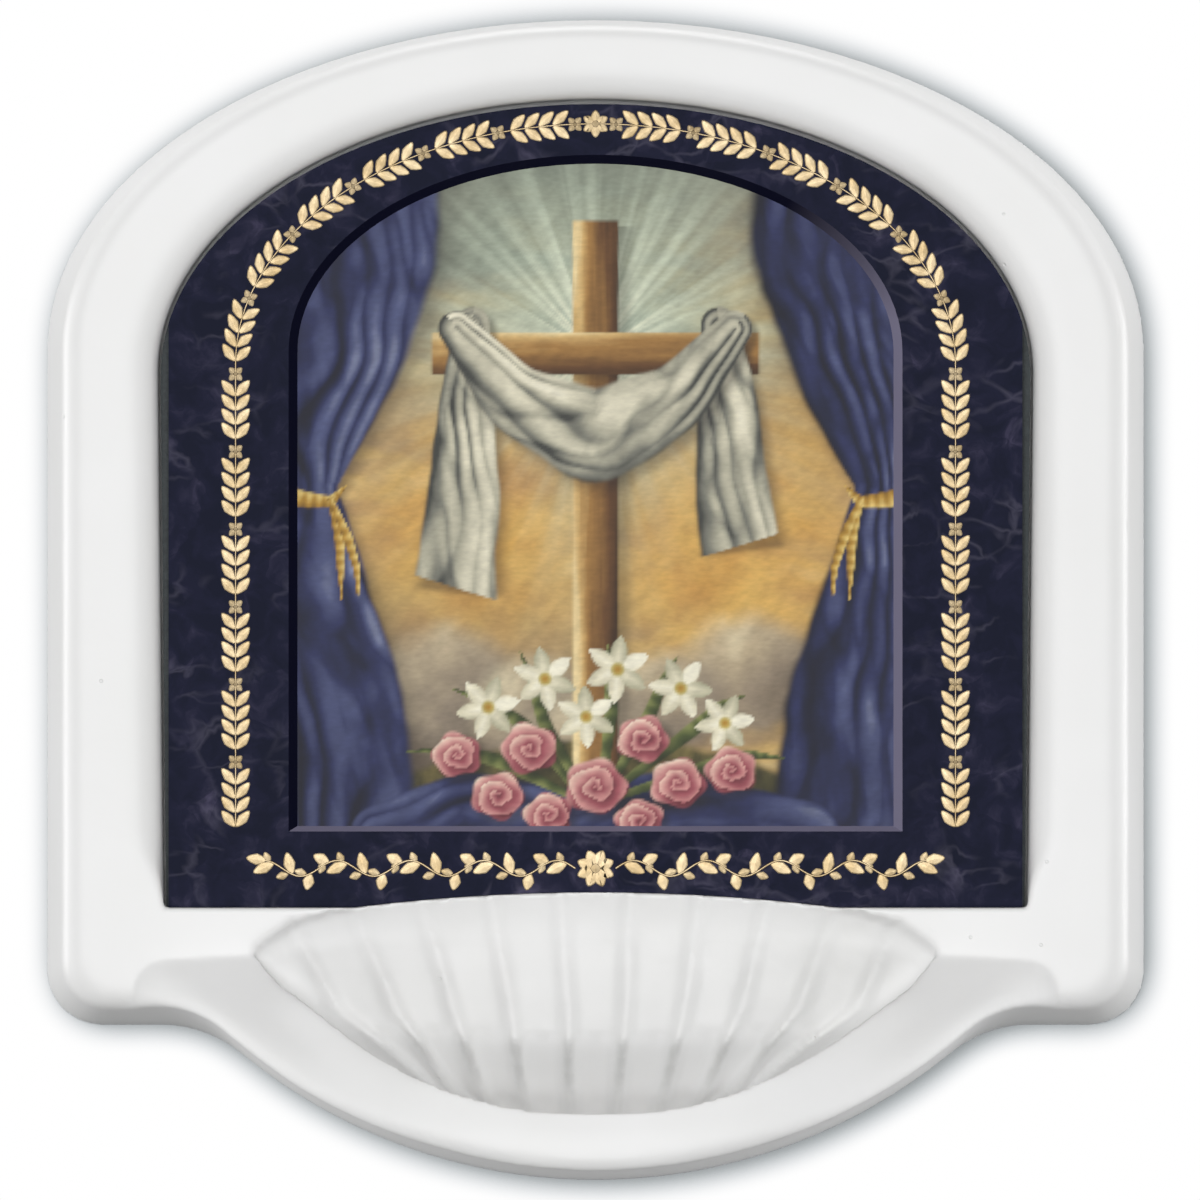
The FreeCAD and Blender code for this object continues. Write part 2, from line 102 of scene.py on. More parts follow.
def cast_white():
    """Stone-filled white casting with a satin sealer: soft sheen, faint ripples, a few pinholes and pimples."""
    finish, tree, shader, place = new_finish("satin_white_casting", 0.46)
    # cloudy tone of the casting, 30 mm across
    tone = add_node(tree, "TexNoise", {"Vector": place, "Scale": per_metre(30), "Detail": 3.0, "Roughness": 0.5})
    shade = add_node(tree, "ValToRGB", {"Fac": tone.outputs["Fac"]}, stops=[(0.3, "#F3F3F2"), (0.7, "#F7F7F7")])
    # grey mixed into the white as far as the attribute says: the white's own tone all over, painted shade in the basin
    # and its grooves, a painted highlight on the rim
    grey_with_painted_light = add_node(tree, "Attribute", attribute_name="grey_with_painted_light", attribute_type="GEOMETRY").outputs["Fac"]
    shaded_white = add_node(tree, "Mix", {"Factor": grey_with_painted_light, "A": shade.outputs["Color"], "B": linear("#A6A6A4")},
                     data_type="RGBA")
    tree.links.new(shaded_white.outputs[2], shader.inputs["Base Color"])
    # the polished pattern it was moulded from leaves long low ripples, 14 mm apart
    ripple = add_node(tree, "TexNoise", {"Vector": place, "Scale": per_metre(14), "Detail": 1.0, "Roughness": 0.4})
    # sealer skin, 1.6 mm
    skin = add_node(tree, "TexNoise", {"Vector": place, "Scale": per_metre(1.6), "Detail": 2.0, "Roughness": 0.55})
    # pinholes and pimples: one in a few of the 6 mm cells, 0.4 mm across
    cells = add_node(tree, "TexVoronoi", {"Vector": place, "Scale": per_metre(6), "Randomness": 1.0})
    size = add_node(tree, "MapRange", {"Value": cells.outputs["Distance"], "From Min": 0.02, "From Max": 0.06,
                                       "To Min": 1.0, "To Max": 0.0}, interpolation_type="SMOOTHSTEP")
    pick = add_node(tree, "SeparateColor", {"Color": cells.outputs["Color"]})
    chosen = add_node(tree, "MapRange", {"Value": pick.outputs["Red"], "From Min": 0.70, "From Max": 0.72})
    sign = add_node(tree, "MapRange", {"Value": pick.outputs["Green"], "From Min": 0.3, "From Max": 0.7,
                                       "To Min": -1.0, "To Max": 1.0})
    spot = add_node(tree, "Math", {0: size.outputs["Result"], 1: chosen.outputs["Result"]}, operation="MULTIPLY")
    spots = add_node(tree, "Math", {0: spot.outputs["Value"], 1: sign.outputs["Result"]}, operation="MULTIPLY")
    low = add_node(tree, "Bump", {"Height": ripple.outputs["Fac"], "Distance": 0.5 * MM, "Strength": 0.5})
    fine = add_node(tree, "Bump", {"Height": skin.outputs["Fac"], "Distance": 0.03 * MM, "Strength": 0.6,
                                   "Normal": low.outputs["Normal"]})
    add_node(tree, "Bump", {"Height": spots.outputs["Value"], "Distance": 0.12 * MM, "Strength": 0.8,
                            "Normal": fine.outputs["Normal"]}, feeds=shader.inputs["Normal"])
    return finish


def navy_marbled_card():
    """Mat board faced with printed navy marbled paper under satin varnish; the bevel's cut core gets painted light and
    shade by the way each wall faces.
    """
    finish, tree, shader, place = new_finish("navy_marbled_card", 0.55)
    shader.inputs["Specular IOR Level"].default_value = 0.04
    warp = add_node(tree, "TexNoise", {"Vector": place, "Scale": per_metre(9), "Detail": 3.0, "Distortion": 0.6})
    bent = add_node(tree, "VectorMath", {0: warp.outputs["Color"], 1: (7 * MM, 7 * MM, 7 * MM)}, operation="MULTIPLY")
    bent = add_node(tree, "VectorMath", {0: place, 1: bent.outputs["Vector"]}, operation="ADD").outputs["Vector"]
    # soft violet grey blotches 4 mm across, angular slabs of tone 7 mm across and few thin pale wisps
    slabs = add_node(tree, "TexVoronoi", {"Vector": bent, "Scale": per_metre(7), "Randomness": 1.0})
    tone = add_node(tree, "SeparateColor", {"Color": slabs.outputs["Color"]}).outputs["Red"]
    slab = add_node(tree, "MapRange", {"Value": tone, "From Min": 0.72, "From Max": 0.95, "To Max": 0.09})
    blots = add_node(tree, "TexNoise", {"Vector": bent, "Scale": per_metre(4.5), "Detail": 5.0, "Roughness": 0.55,
                                        "Distortion": 0.5}).outputs["Fac"]
    both = add_node(tree, "Math", {0: blots, 1: slab.outputs["Result"]}, operation="ADD").outputs["Value"]
    base = add_node(tree, "ValToRGB", {"Fac": both}, stops=[(0.40, "#171A2B"), (0.57, "#1D1F33"), (0.68, "#2A2A3E"),
                                                            (0.80, "#403D54")]).outputs["Color"]
    drawn = add_node(tree, "Mapping", {"Vector": bent, "Rotation": (0.0, 0.6, 0.0), "Scale": (0.45, 1.0, 1.0)})
    edge = add_node(tree, "TexVoronoi", {"Vector": drawn.outputs["Vector"], "Scale": per_metre(5)},
                    feature="DISTANCE_TO_EDGE")
    vein = add_node(tree, "MapRange", {"Value": edge.outputs["Distance"], "From Min": 0.0, "From Max": 0.08,
                                       "To Min": 0.15, "To Max": 0.0})
    patch = add_node(tree, "TexNoise", {"Vector": place, "Scale": per_metre(11), "Detail": 2.0}).outputs["Fac"]
    broken = add_node(tree, "MapRange", {"Value": patch, "From Min": 0.50, "From Max": 0.66})
    veined = add_node(tree, "Math", {0: vein.outputs["Result"], 1: broken.outputs["Result"]}, operation="MULTIPLY")
    marble = add_node(tree, "Mix", {"Factor": veined.outputs["Value"], "A": base, "B": linear("#8C889E")},
                      data_type="RGBA")
    # painted light and shade on the bevel's cut core: near black on the left and top walls, violet grey on the right
    # and bottom ones
    facing = add_node(tree, "SeparateXYZ", {"Vector": place.node.outputs["Normal"]})
    lit = add_node(tree, "Math", {0: facing.outputs["Z"], 1: facing.outputs["X"]}, operation="SUBTRACT")
    lit = add_node(tree, "MapRange", {"Value": lit.outputs["Value"], "From Min": -1.0, "From Max": 1.0})
    bevel_painted_light = add_node(tree, "ValToRGB", {"Fac": lit.outputs["Result"]}, stops=[(0.35, "#090A1C"), (0.75, "#7F7B91")])
    front = add_node(tree, "Math", {0: facing.outputs["Y"]}, operation="ABSOLUTE")
    is_front = add_node(tree, "MapRange", {"Value": front.outputs["Value"], "From Min": 0.88, "From Max": 0.93})
    look = add_node(tree, "Mix", {"Factor": is_front.outputs["Result"], "A": bevel_painted_light.outputs["Color"],
                                  "B": marble.outputs[2]}, data_type="RGBA")
    tree.links.new(look.outputs[2], shader.inputs["Base Color"])
    grain = add_node(tree, "TexNoise", {"Vector": place, "Scale": per_metre(0.5), "Detail": 2.0})
    add_node(tree, "Bump", {"Height": grain.outputs["Fac"], "Distance": 0.02 * MM, "Strength": 0.5},
             feeds=shader.inputs["Normal"])
    return finish


def tempered_hardboard():
    """Oil-tempered hardboard: pressed brown-green fibre, dull, nearly black where the oil soaked in."""
    finish, tree, shader, place = new_finish("tempered_hardboard", 0.75)
    fibre = add_node(tree, "TexNoise", {"Vector": place, "Scale": per_metre(0.9), "Detail": 5.0, "Roughness": 0.7,
                                        "Distortion": 1.2})
    add_node(tree, "ValToRGB", {"Fac": fibre.outputs["Fac"]}, stops=[(0.3, "#23282A"), (0.7, "#3A4042")],
             feeds=shader.inputs["Base Color"])
    add_node(tree, "Bump", {"Height": fibre.outputs["Fac"], "Distance": 0.08 * MM, "Strength": 0.6},
             feeds=shader.inputs["Normal"])
    return finish


def foam_tape():
    """Closed-cell polyethylene foam tape: off-white, matt, cells 0.5 mm across."""
    finish, tree, shader, place = new_finish("closed_cell_foam", 0.8)
    cells = add_node(tree, "TexVoronoi", {"Vector": place, "Scale": per_metre(0.5)}, feature="SMOOTH_F1")
    add_node(tree, "ValToRGB", {"Fac": cells.outputs["Distance"]},
             stops=[(0.1, "#E6E5DF"), (0.8, "#CFCEC6")], feeds=shader.inputs["Base Color"])
    add_node(tree, "Bump", {"Height": cells.outputs["Distance"], "Distance": 0.1 * MM, "Strength": 0.5},
             feeds=shader.inputs["Normal"])
    return finish


def zinc_plate():
    """Electroplated zinc on rolled steel: bluish grey, faintly blotched every 3 mm, rolled along X."""
    finish, tree, shader, place = new_finish("zinc_plated_steel", 0.36, metallic=1.0)
    blotch = add_node(tree, "TexVoronoi", {"Vector": place, "Scale": per_metre(3)})
    tone = add_node(tree, "SeparateColor", {"Color": blotch.outputs["Color"]}).outputs["Green"]
    add_node(tree, "ValToRGB", {"Fac": tone}, stops=[(0.0, "#A7ACB0"), (1.0, "#B1B6B9")],
             feeds=shader.inputs["Base Color"])
    drawn = add_node(tree, "Mapping", {"Vector": place, "Scale": (0.06, 1.0, 1.0)})
    lines = add_node(tree, "TexNoise", {"Vector": drawn.outputs["Vector"], "Scale": per_metre(0.25), "Detail": 3.0})
    add_node(tree, "MapRange", {"Value": lines.outputs["Fac"], "To Min": 0.28, "To Max": 0.46},
             feeds=shader.inputs["Roughness"])
    add_node(tree, "Bump", {"Height": lines.outputs["Fac"], "Distance": 0.02 * MM, "Strength": 0.5},
             feeds=shader.inputs["Normal"])
    return finish


def screw_steel():
    """Bright zinc-plated screw steel with fine turning marks."""
    finish, tree, shader, place = new_finish("turned_screw_steel", 0.3, metallic=1.0)
    turned = add_node(tree, "TexNoise", {"Vector": place, "Scale": per_metre(0.4), "Detail": 2.0})
    add_node(tree, "ValToRGB", {"Fac": turned.outputs["Fac"]}, stops=[(0.3, "#B4B6BA"), (0.7, "#CDCED1")],
             feeds=shader.inputs["Base Color"])
    add_node(tree, "MapRange", {"Value": turned.outputs["Fac"], "To Min": 0.22, "To Max": 0.42},
             feeds=shader.inputs["Roughness"])
    return finish


def painted_print():
    """Offset print on coated paper: the picture's own paint with fine brush streaks and a slight sheen."""
    finish, tree, shader, place = new_finish("coated_art_print", 0.5)
    shader.inputs["Specular IOR Level"].default_value = 0.15
    paint = add_node(tree, "Attribute", attribute_name="paint", attribute_type="GEOMETRY").outputs["Color"]
    # brush streaks 0.5 mm wide and 3 mm long, and the weave of the canvas, 0.6 mm
    stroke = add_node(tree, "Mapping", {"Vector": place, "Rotation": (0.0, 0.7, 0.0), "Scale": (0.35, 1.0, 1.0)})
    streak = add_node(tree, "TexNoise", {"Vector": stroke.outputs["Vector"], "Scale": per_metre(0.6), "Detail": 3.0})
    tone = add_node(tree, "MapRange", {"Value": streak.outputs["Fac"], "From Min": 0.3, "From Max": 0.7,
                                       "To Min": 0.93, "To Max": 1.07})
    add_node(tree, "VectorMath", {0: paint, "Scale": tone.outputs["Result"]}, operation="SCALE",
             feeds=shader.inputs["Base Color"])
    weave = add_node(tree, "TexNoise", {"Vector": place, "Scale": per_metre(0.6), "Detail": 1.0})
    add_node(tree, "Bump", {"Height": weave.outputs["Fac"], "Distance": 0.03 * MM, "Strength": 0.4},
             feeds=shader.inputs["Normal"])
    return finish


def foil_gold():
    """Hot-stamped pale gold foil: metal, softly brushed by the die, with a faint grain."""
    finish, tree, shader, place = new_finish("hot_stamped_gold_foil", 0.42, metallic=1.0)
    worn = add_node(tree, "TexNoise", {"Vector": place, "Scale": per_metre(2.5), "Detail": 3.0})
    add_node(tree, "ValToRGB", {"Fac": worn.outputs["Fac"]}, stops=[(0.3, "#978463"), (0.7, "#AB9B7E")],
             feeds=shader.inputs["Base Color"])
    grain = add_node(tree, "TexNoise", {"Vector": place, "Scale": per_metre(0.35), "Detail": 2.0})
    add_node(tree, "MapRange", {"Value": grain.outputs["Fac"], "To Min": 0.42, "To Max": 0.58},
             feeds=shader.inputs["Roughness"])
    add_node(tree, "Bump", {"Height": grain.outputs["Fac"], "Distance": 0.01 * MM, "Strength": 0.4},
             feeds=shader.inputs["Normal"])
    return finish


def foil_dark_edge():
    """Dark brown on the leaves' sloping skirts, seen as a thin dark line round the foil."""
    finish, tree, shader, place = new_finish("dark_foil_edge", 0.6)
    tone = add_node(tree, "TexNoise", {"Vector": place, "Scale": per_metre(1.5), "Detail": 2.0})
    add_node(tree, "ValToRGB", {"Fac": tone.outputs["Fac"]}, stops=[(0.3, "#2A1A12"), (0.7, "#4A3220")],
             feeds=shader.inputs["Base Color"])
    return finish


# ---- small helpers for the pieces ----
def new_object(name, data):
    made = bpy.data.objects.new(name, data)
    scene.collection.objects.link(made)
    return made


def deselect_all():
    if bpy.context.object and bpy.context.object.mode != "OBJECT":
        bpy.ops.object.mode_set(mode="OBJECT")
    bpy.ops.object.select_all(action="DESELECT")


def make_active(piece):
    deselect_all()
    piece.select_set(True)
    bpy.context.view_layer.objects.active = piece


def apply_modifier(piece, kind, **settings):
    make_active(piece)
    made = piece.modifiers.new(kind.lower(), kind)
    for name, value in settings.items():
        setattr(made, name, value)
    bpy.ops.object.modifier_apply(modifier=made.name)


def raw_points(piece):
    """The piece's vertices as they stand in its mesh, one row each."""
    flat = np.empty(len(piece.data.vertices) * 3, np.float32)
    piece.data.vertices.foreach_get("co", flat)
    return flat.reshape(-1, 3).astype(float)


def points_of(piece):
    """The piece's vertices in millimetres: across, depth, height."""
    spots = raw_points(piece) / MM
    return spots[:, 0], -spots[:, 1], spots[:, 2]


def put_points(piece, across, depth, height):
    """The reverse of points_of."""
    spots = np.stack([across, -depth, height], axis=1) * MM
    piece.data.vertices.foreach_set("co", spots.astype(np.float32).ravel())


def face_outwards(piece):
    make_active(piece)
    bpy.ops.object.mode_set(mode="EDIT")
    bpy.ops.mesh.select_all(action="SELECT")
    bpy.ops.mesh.normals_make_consistent(inside=False)
    bpy.ops.object.mode_set(mode="OBJECT")


def thicken(sheet, offset, widen=(1, 1, 1), about=(0, 0, 0)):
    """Extrudes an open sheet's rim by an offset, widens the new rim and closes it."""
    make_active(sheet)
    bpy.ops.object.mode_set(mode="EDIT")
    bpy.ops.mesh.select_mode(type="EDGE")
    bpy.ops.mesh.select_all(action="DESELECT")
    bpy.ops.mesh.select_non_manifold()
    bpy.ops.mesh.extrude_region_move(TRANSFORM_OT_translate={"value": offset})
    if widen != (1, 1, 1):
        bpy.ops.transform.resize(value=widen, center_override=about)
    bpy.ops.mesh.edge_face_add()
    bpy.ops.object.mode_set(mode="OBJECT")
    face_outwards(sheet)


def give_finish(piece, *finishes):
    piece.data.materials.clear()
    for finish in finishes:
        piece.data.materials.append(finish)


def weight_group(piece, name, weights):
    """Vertex group from one weight per vertex, in 20 steps."""
    group = piece.vertex_groups.new(name=name)
    steps = np.round(np.clip(weights, 0, 1) * 20).astype(int)
    for step in range(1, 21):
        chosen = np.nonzero(steps == step)[0]
        if len(chosen):
            group.add(chosen.tolist(), step / 20, "REPLACE")
    return name


def cloudy(x, z, size, seed, octaves=4):
    """Smooth random values from 0 to 1 whose largest cells are this many millimetres across."""
    chance = np.random.default_rng(seed)
    total, weight = 0.0, 0.0
    for octave in range(octaves):
        lattice = chance.random((64, 64))
        cell, share = size / 2 ** octave, 0.5 ** octave
        a, b = x / cell + 37.3, z / cell + 91.7
        i, j = np.floor(a).astype(int), np.floor(b).astype(int)
        fa, fb = a - i, b - j
        fa, fb = fa * fa * (3 - 2 * fa), fb * fb * (3 - 2 * fb)
        i, j, k, m = i % 64, j % 64, (i + 1) % 64, (j + 1) % 64
        low = lattice[i, j] * (1 - fa) + lattice[k, j] * fa
        high = lattice[i, m] * (1 - fa) + lattice[k, m] * fa
        total = total + (low * (1 - fb) + high * fb) * share
        weight += share
    return total / weight


def ramp(value, low, high):
    """0 at low, 1 at high, straight between; low may be the larger one."""
    return np.clip((value - low) / (high - low), 0, 1)


def step_up(value, low, high):
    """As ramp, but smooth at both ends."""
    share = ramp(value, low, high)
    return share * share * (3 - 2 * share)


def hump(value, middle, reach, power=2):
    """1 in the middle, fading to both sides."""
    return np.exp(-((value - middle) / reach) ** power)


# ---- the cast body; heights marked "up" are from the bowl's lowest point ----
BOTTOM = -154.0            # lowest point of the bowl
MOUTH_FOOT = 10.2          # the mouth's edge, in the middle
MOUTH_RISE = 27.0          # from there up to the mouth's corners
MOUTH_HALF = 54.6
DRAWN_BEND, WORN_BEND = 2.77, 2.3
WORN_LIFT = 0.9            # how much the mould's wear lifts the mouth's middle
SHELL_HALF, SHELL_TOP, SHELL_DROP = 57.0, 43.0, 34.0
BASIN_HALF, BASIN_MIDDLE, BASIN_REACH = 56.0, 26.0, 21.0
LIP_DEPTH = 41.0
RIM_SLOPE = 0.9            # the rim falls back by this much for each millimetre upwards
VOXEL, QUICK_VOXEL = 0.42, 1.0
MOST_TRIANGLES = 190000
BASE_GREY = 0.137               # share of grey mixed into the white all over; the rim's painted highlight takes it away


def mouth_edge(side, bend):
    """Height of the mouth's edge above the bowl's bottom; a smaller bend makes its sides straighter."""
    return MOUTH_FOOT + MOUTH_RISE * ramp(side, 0, MOUTH_HALF) ** bend


def paint_shade_and_rim_highlight(body):
    """Attribute "grey_with_painted_light": grey mixed into the white all over, painted shade on the basin's wall and
    in its grooves, less grey on the rim as a painted highlight.
    """
    across, depth, height = points_of(body)
    spots = np.stack([across, -depth, height], axis=1)
    ends = np.empty(len(body.data.edges) * 2, np.int32)
    body.data.edges.foreach_get("vertices", ends)
    a, b = ends[0::2], ends[1::2]
    near = np.bincount(a, minlength=len(spots)) + np.bincount(b, minlength=len(spots))
    even = spots.copy()
    for turn in range(6):
        even = np.stack([(np.bincount(a, even[b, i], len(spots)) + np.bincount(b, even[a, i], len(spots))) / near
                         for i in range(3)], axis=1)
    outward = np.empty(len(spots) * 3, np.float32)
    body.data.vertices.foreach_get("normal", outward)
    outward = outward.reshape(-1, 3)
    hollow = np.sum((even - spots) * outward, axis=1)
    upward = outward[:, 2]
    side, up = np.abs(across), height - BOTTOM
    # measured square to the rim's slope, the rim lies in front of the basin
    rim = step_up(depth + RIM_SLOPE * up, 46, 49)
    outline = (side / SHELL_HALF) ** 2 + (np.maximum(SHELL_TOP - up, 0) / SHELL_DROP) ** 2.4
    basin = (1 - rim) * ramp(outline, 1.02, 0.96) * ramp(up, 46, 44)
    low = ramp(up, 45, 33)
    floor = step_up(upward, 0.2, 0.6)
    # painted shade: darker towards the basin's sides, in a band low on its wall and in its grooves
    basin_shade = 0.16 + 0.14 * ramp(side, 16, 46) - 0.11 * floor
    basin_shade += 0.09 * hump(up, 27.5, 4.5) * (1 - floor)
    basin_shade += (0.08 + 0.34 * floor) * ramp(hollow, 0, 0.14)
    # the painted shade fades where the basin meets the lip
    basin_shade *= 0.25 + 0.75 * step_up(up - mouth_edge(side, WORN_BEND), 0.5, 7)
    # painted highlight: the upward-facing rim in front of the basin is kept whiter, most in the middle
    rim_highlight = rim * step_up(depth, 18.3, 21) * step_up(upward, 0.15, 0.45) * (1 - 0.8 * step_up(side, 20, 34))
    grey_share = BASE_GREY * (1 - rim_highlight) * (1 - basin * (1 - low)) + basin * low * basin_shade
    body.data.attributes.new("grey_with_painted_light", "FLOAT", "POINT").data.foreach_set("value", grey_share.astype(np.float32))


def work_by_hand(body):
    """Lifts the worn mouth and lets the ribs waver; returns where the casting is soft, ribbed or plain wall."""
    across, depth, height = points_of(body)
    side, up = np.abs(across), height - BOTTOM
    # the mould's worn mouth stands a little higher and runs straighter than the drawn line
    drawn_edge = mouth_edge(side, DRAWN_BEND)
    edge = mouth_edge(side, WORN_BEND) + WORN_LIFT * (1 - ramp(side, 0, MOUTH_HALF) ** 2)
    up = up + (edge - drawn_edge) * hump(up, drawn_edge, 4.5) * step_up(depth, 21, 27)
    front = ramp(depth, 4, 8)
    basin = 0.98 - (side / BASIN_HALF) ** 3 - (np.abs(up - BASIN_MIDDLE) / BASIN_REACH) ** 3
    basin = ramp(basin, 0, 0.1) * ramp(depth, LIP_DEPTH, LIP_DEPTH - 3)
    # the pattern's ribs were worked by hand: they waver, with low lumps 7 mm apart
    worked = basin * ramp(side, 54, 48) * ramp(up, 44, 40) * front
    waver = 1.3 * worked * (cloudy(across * 0.35, height, 13, 205, 2) - 0.5)
    lumps = 0.42 * worked * (cloudy(across, height, 7, 201, 3) - 0.5)
    put_points(body, across + waver, depth + lumps, up + BOTTOM)
    # crisp edges: the lip's inner edge, the recess's foot and the outer edge below the shoulders
    lip = hump(up, edge, 2) * (side < 57) * (up < 37) * (0.75 - 0.40 * ramp(side, 18, 40))
    foot = hump(up, 43.3, 3, 4) * ramp(side, 73, 71) * ramp(side, 36, 40)
    low = ramp(up, 28, 23) * (1 - basin)
    crisp = np.clip(np.maximum(np.maximum(lip, 0.9 * foot), 0.65 * low), 0, 1)
    wall = basin * (1 - crisp) * ramp(up, 23, 27) * ramp(up, 44, 41)
    return front * (1 - basin) * (1 - crisp), np.maximum(basin, crisp) * front, wall * front


def crease_round_back(body):
    """Keeps the flat back flat in the light: its outline becomes a sharp edge."""
    for face in body.data.polygons:
        face.select = face.normal.y > 0.9995 and face.center.y > -0.05 * MM
    make_active(body)
    bpy.ops.object.mode_set(mode="EDIT")
    bpy.ops.mesh.select_mode(type="FACE")
    bpy.ops.mesh.region_to_loop()
    bpy.ops.mesh.mark_sharp()
    bpy.ops.object.mode_set(mode="OBJECT")


def cast_font():
    """The one-piece casting: the same walls as the solid, with every edge softened as a mould leaves it."""
    body = new_object("cast_font", parts["font_body"].data.copy())
    make_active(body)
    bpy.ops.object.mode_set(mode="EDIT")
    bpy.ops.mesh.select_all(action="SELECT")
    bpy.ops.mesh.remove_doubles(threshold=0.00001)
    bpy.ops.object.mode_set(mode="OBJECT")
    voxel = VOXEL
    apply_modifier(body, "REMESH", mode="VOXEL", voxel_size=voxel * MM, use_smooth_shade=True)
    soft, ribs, wall = work_by_hand(body)
    soft, ribs, wall = (weight_group(body, name, weights)
                        for name, weights in (("soft", soft), ("ribs", ribs), ("wall", wall)))
    # the worked ribs run out softly on the basin's back wall
    for group, turns in ((soft, 3 / voxel ** 2), (ribs, 2), (wall, 2.4 / voxel ** 2)):
        apply_modifier(body, "SMOOTH", factor=0.5, iterations=int(turns), vertex_group=group)
    body.vertex_groups.clear()
    apply_modifier(body, "DECIMATE", ratio=min(1.0, MOST_TRIANGLES / (2 * len(body.data.polygons))))
    body.data.shade_smooth()
    crease_round_back(body)
    paint_shade_and_rim_highlight(body)
    give_finish(body, cast_white())
    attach(body, "root")
    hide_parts("font_body")


# ---- the picture: a draped cross between curtains, lilies and roses at its foot, painted in layers ----
# paints from dark to light
WHITE_CLOTH = ((0.0, "#3F4141"), (0.25, "#7E7F7A"), (0.5, "#B9B7AA"), (0.75, "#E6E2D3"), (1.0, "#FBF8EE"))
BLUE_CLOTH = ((0.0, "#0B0D22"), (0.25, "#151A38"), (0.5, "#282E5B"), (0.75, "#4E5683"), (1.0, "#939BBC"))
STRAW = ((0.0, "#5E4420"), (0.5, "#B88E3C"), (1.0, "#F0D78C"))
MIST = ((0.0, "#5F554F"), (0.4, "#8F8378"), (0.75, "#BFB09A"), (1.0, "#E7DCC2"))
TIMBER = ((0.0, "#2E1D12"), (0.3, "#65452A"), (0.6, "#A57C48"), (0.85, "#D8B57C"), (1.0, "#F3DEB0"))
LEAF_GREEN = ((0.0, "#20281A"), (0.5, "#4B5632"), (1.0, "#8C935C"))
LILY_WHITE = ((0.0, "#77806A"), (0.45, "#BDBBA6"), (0.8, "#E9E4D2"), (1.0, "#FBF8EC"))
ROSE_PINK = ((0.0, "#5A2430"), (0.3, "#A25664"), (0.6, "#D3979A"), (0.85, "#EBC3BC"), (1.0, "#F8E3DA"))
DARK_GLAZE, VIOLET_GLAZE = "#1B1714", "#15121A"
VARNISH = (0.94, 0.92, 0.82)
# places in millimetres
WINDOW_FOOT, WINDOW_RISE = -97.8, 104.9
CROSSING = -23.0           # height of the cross's arms
POST_HALF, ARM_HALF = 3.7, 3.4


def tones(value, *stops):
    """Paint mixed from (place, sRGB hex) stops."""
    places = [place for place, code in stops]
    colours = [linear(code) for place, code in stops]
    return np.stack([np.interp(value, places, [c[i] for c in colours]) for i in range(3)], axis=-1)


def solid(code):
    return np.array(linear(code)[:3])


def lay(paint, colour, cover):
    """Lays one colour or layer over the paint where cover says."""
    return paint + (colour - paint) * np.clip(cover, 0, 1)[..., None]


def along_cloth(x, z, path, widths):
    """Place along a strip of cloth (0 to 1) and across it (-1 to 1), from its middle line and half widths."""
    knots = np.linspace(0, 1, len(path))
    fine = np.linspace(0, 1, 10 * len(path))
    path = np.array(path, float)
    # rounded corners: a running mean of the straight line through the points
    line_x, line_z = np.interp(fine, knots, path[:, 0]), np.interp(fine, knots, path[:, 1])
    ease = np.array([1, 2, 3, 4, 3, 2, 1]) / 16
    line_x = np.convolve(np.pad(line_x, 3, mode="reflect", reflect_type="odd"), ease, "valid")
    line_z = np.convolve(np.pad(line_z, 3, mode="reflect", reflect_type="odd"), ease, "valid")
    best = np.full(x.shape, 1e9)
    t, across = np.zeros(x.shape), np.full(x.shape, 9.0)
    for i in range(len(fine) - 1):
        ax, az, dx, dz = line_x[i], line_z[i], line_x[i + 1] - line_x[i], line_z[i + 1] - line_z[i]
        length = math.hypot(dx, dz) + 1e-9
        s = np.clip(((x - ax) * dx + (z - az) * dz) / length ** 2, 0, 1)
        away = np.hypot(x - ax - s * dx, z - az - s * dz)
        side = ((x - ax) * dz - (z - az) * dx) / length
        nearer = away < best
        best = np.where(nearer, away, best)
        place = fine[i] + s * (fine[i + 1] - fine[i])
        t = np.where(nearer, place, t)
        half = np.interp(place, knots, widths)
        across = np.where(nearer, np.copysign(away, side) / half, across)
    return t, across


def drape(paint, x, z, path, widths, folds, seed, colours, twist=0.0, hem=0.0):
    """A strip of cloth, lit from the left: broad folds that crowd and fade, sharp creases between, a cast shadow."""
    t, across = along_cloth(x - 0.9, z + 1.1, path, widths)
    end = step_up(t, 0.94, 0.97) if hem else 0
    paint = lay(paint, solid(VIOLET_GLAZE), 0.55 * (1 - step_up(np.abs(across), 0.75, 1.25)) * (1 - end))
    t, across = along_cloth(x, z, path, widths)
    length = sum(math.dist(a, b) for a, b in zip(path, path[1:]))
    half = np.interp(t, np.linspace(0, 1, len(path)), widths)
    wobble = cloudy(x, z, 13, seed, 2) - 0.5
    edge = np.abs(across + 0.12 * (cloudy(x, z, 7, seed + 1, 2) - 0.5))
    spread = across + 0.24 * np.sin(2.4 * across + 3.6 * t + seed)
    phase = (folds * spread + twist * t + 1.1 * wobble) * math.pi
    crest = np.sqrt(np.sin(phase) ** 2 + 0.015)
    slope = np.cos(phase) * np.tanh(5 * np.sin(phase))
    body = 0.35 + 1.1 * step_up(cloudy(across * 5 + 9, t * length * 0.4, 6, seed + 5, 2), 0.25, 0.75)
    # pulled creases run aslant to the folds
    along, aside = t * length, across * half
    pull = cloudy(aside * 1.1 + along * 0.30, along * 0.32 - aside * 0.2, 5.5, seed + 3, 3)
    crease = ramp(np.abs(pull - 0.5), 0, 0.16)
    light = 0.46 + body * (0.42 * crest ** 0.8 - 0.30 + 0.15 * slope) + 0.26 * (crease - 0.6) - 0.20 * across
    light += 0.22 * (cloudy(x, z, 5, seed + 2, 4) - 0.5) - 0.22 * step_up(np.abs(across), 0.72, 1)
    end = step_up(t + 0.03 * hem * across, 0.955, 0.962) if hem else 0
    return lay(paint, tones(light, *colours), (1 - step_up(edge, 0.87, 1.01)) * (1 - end))


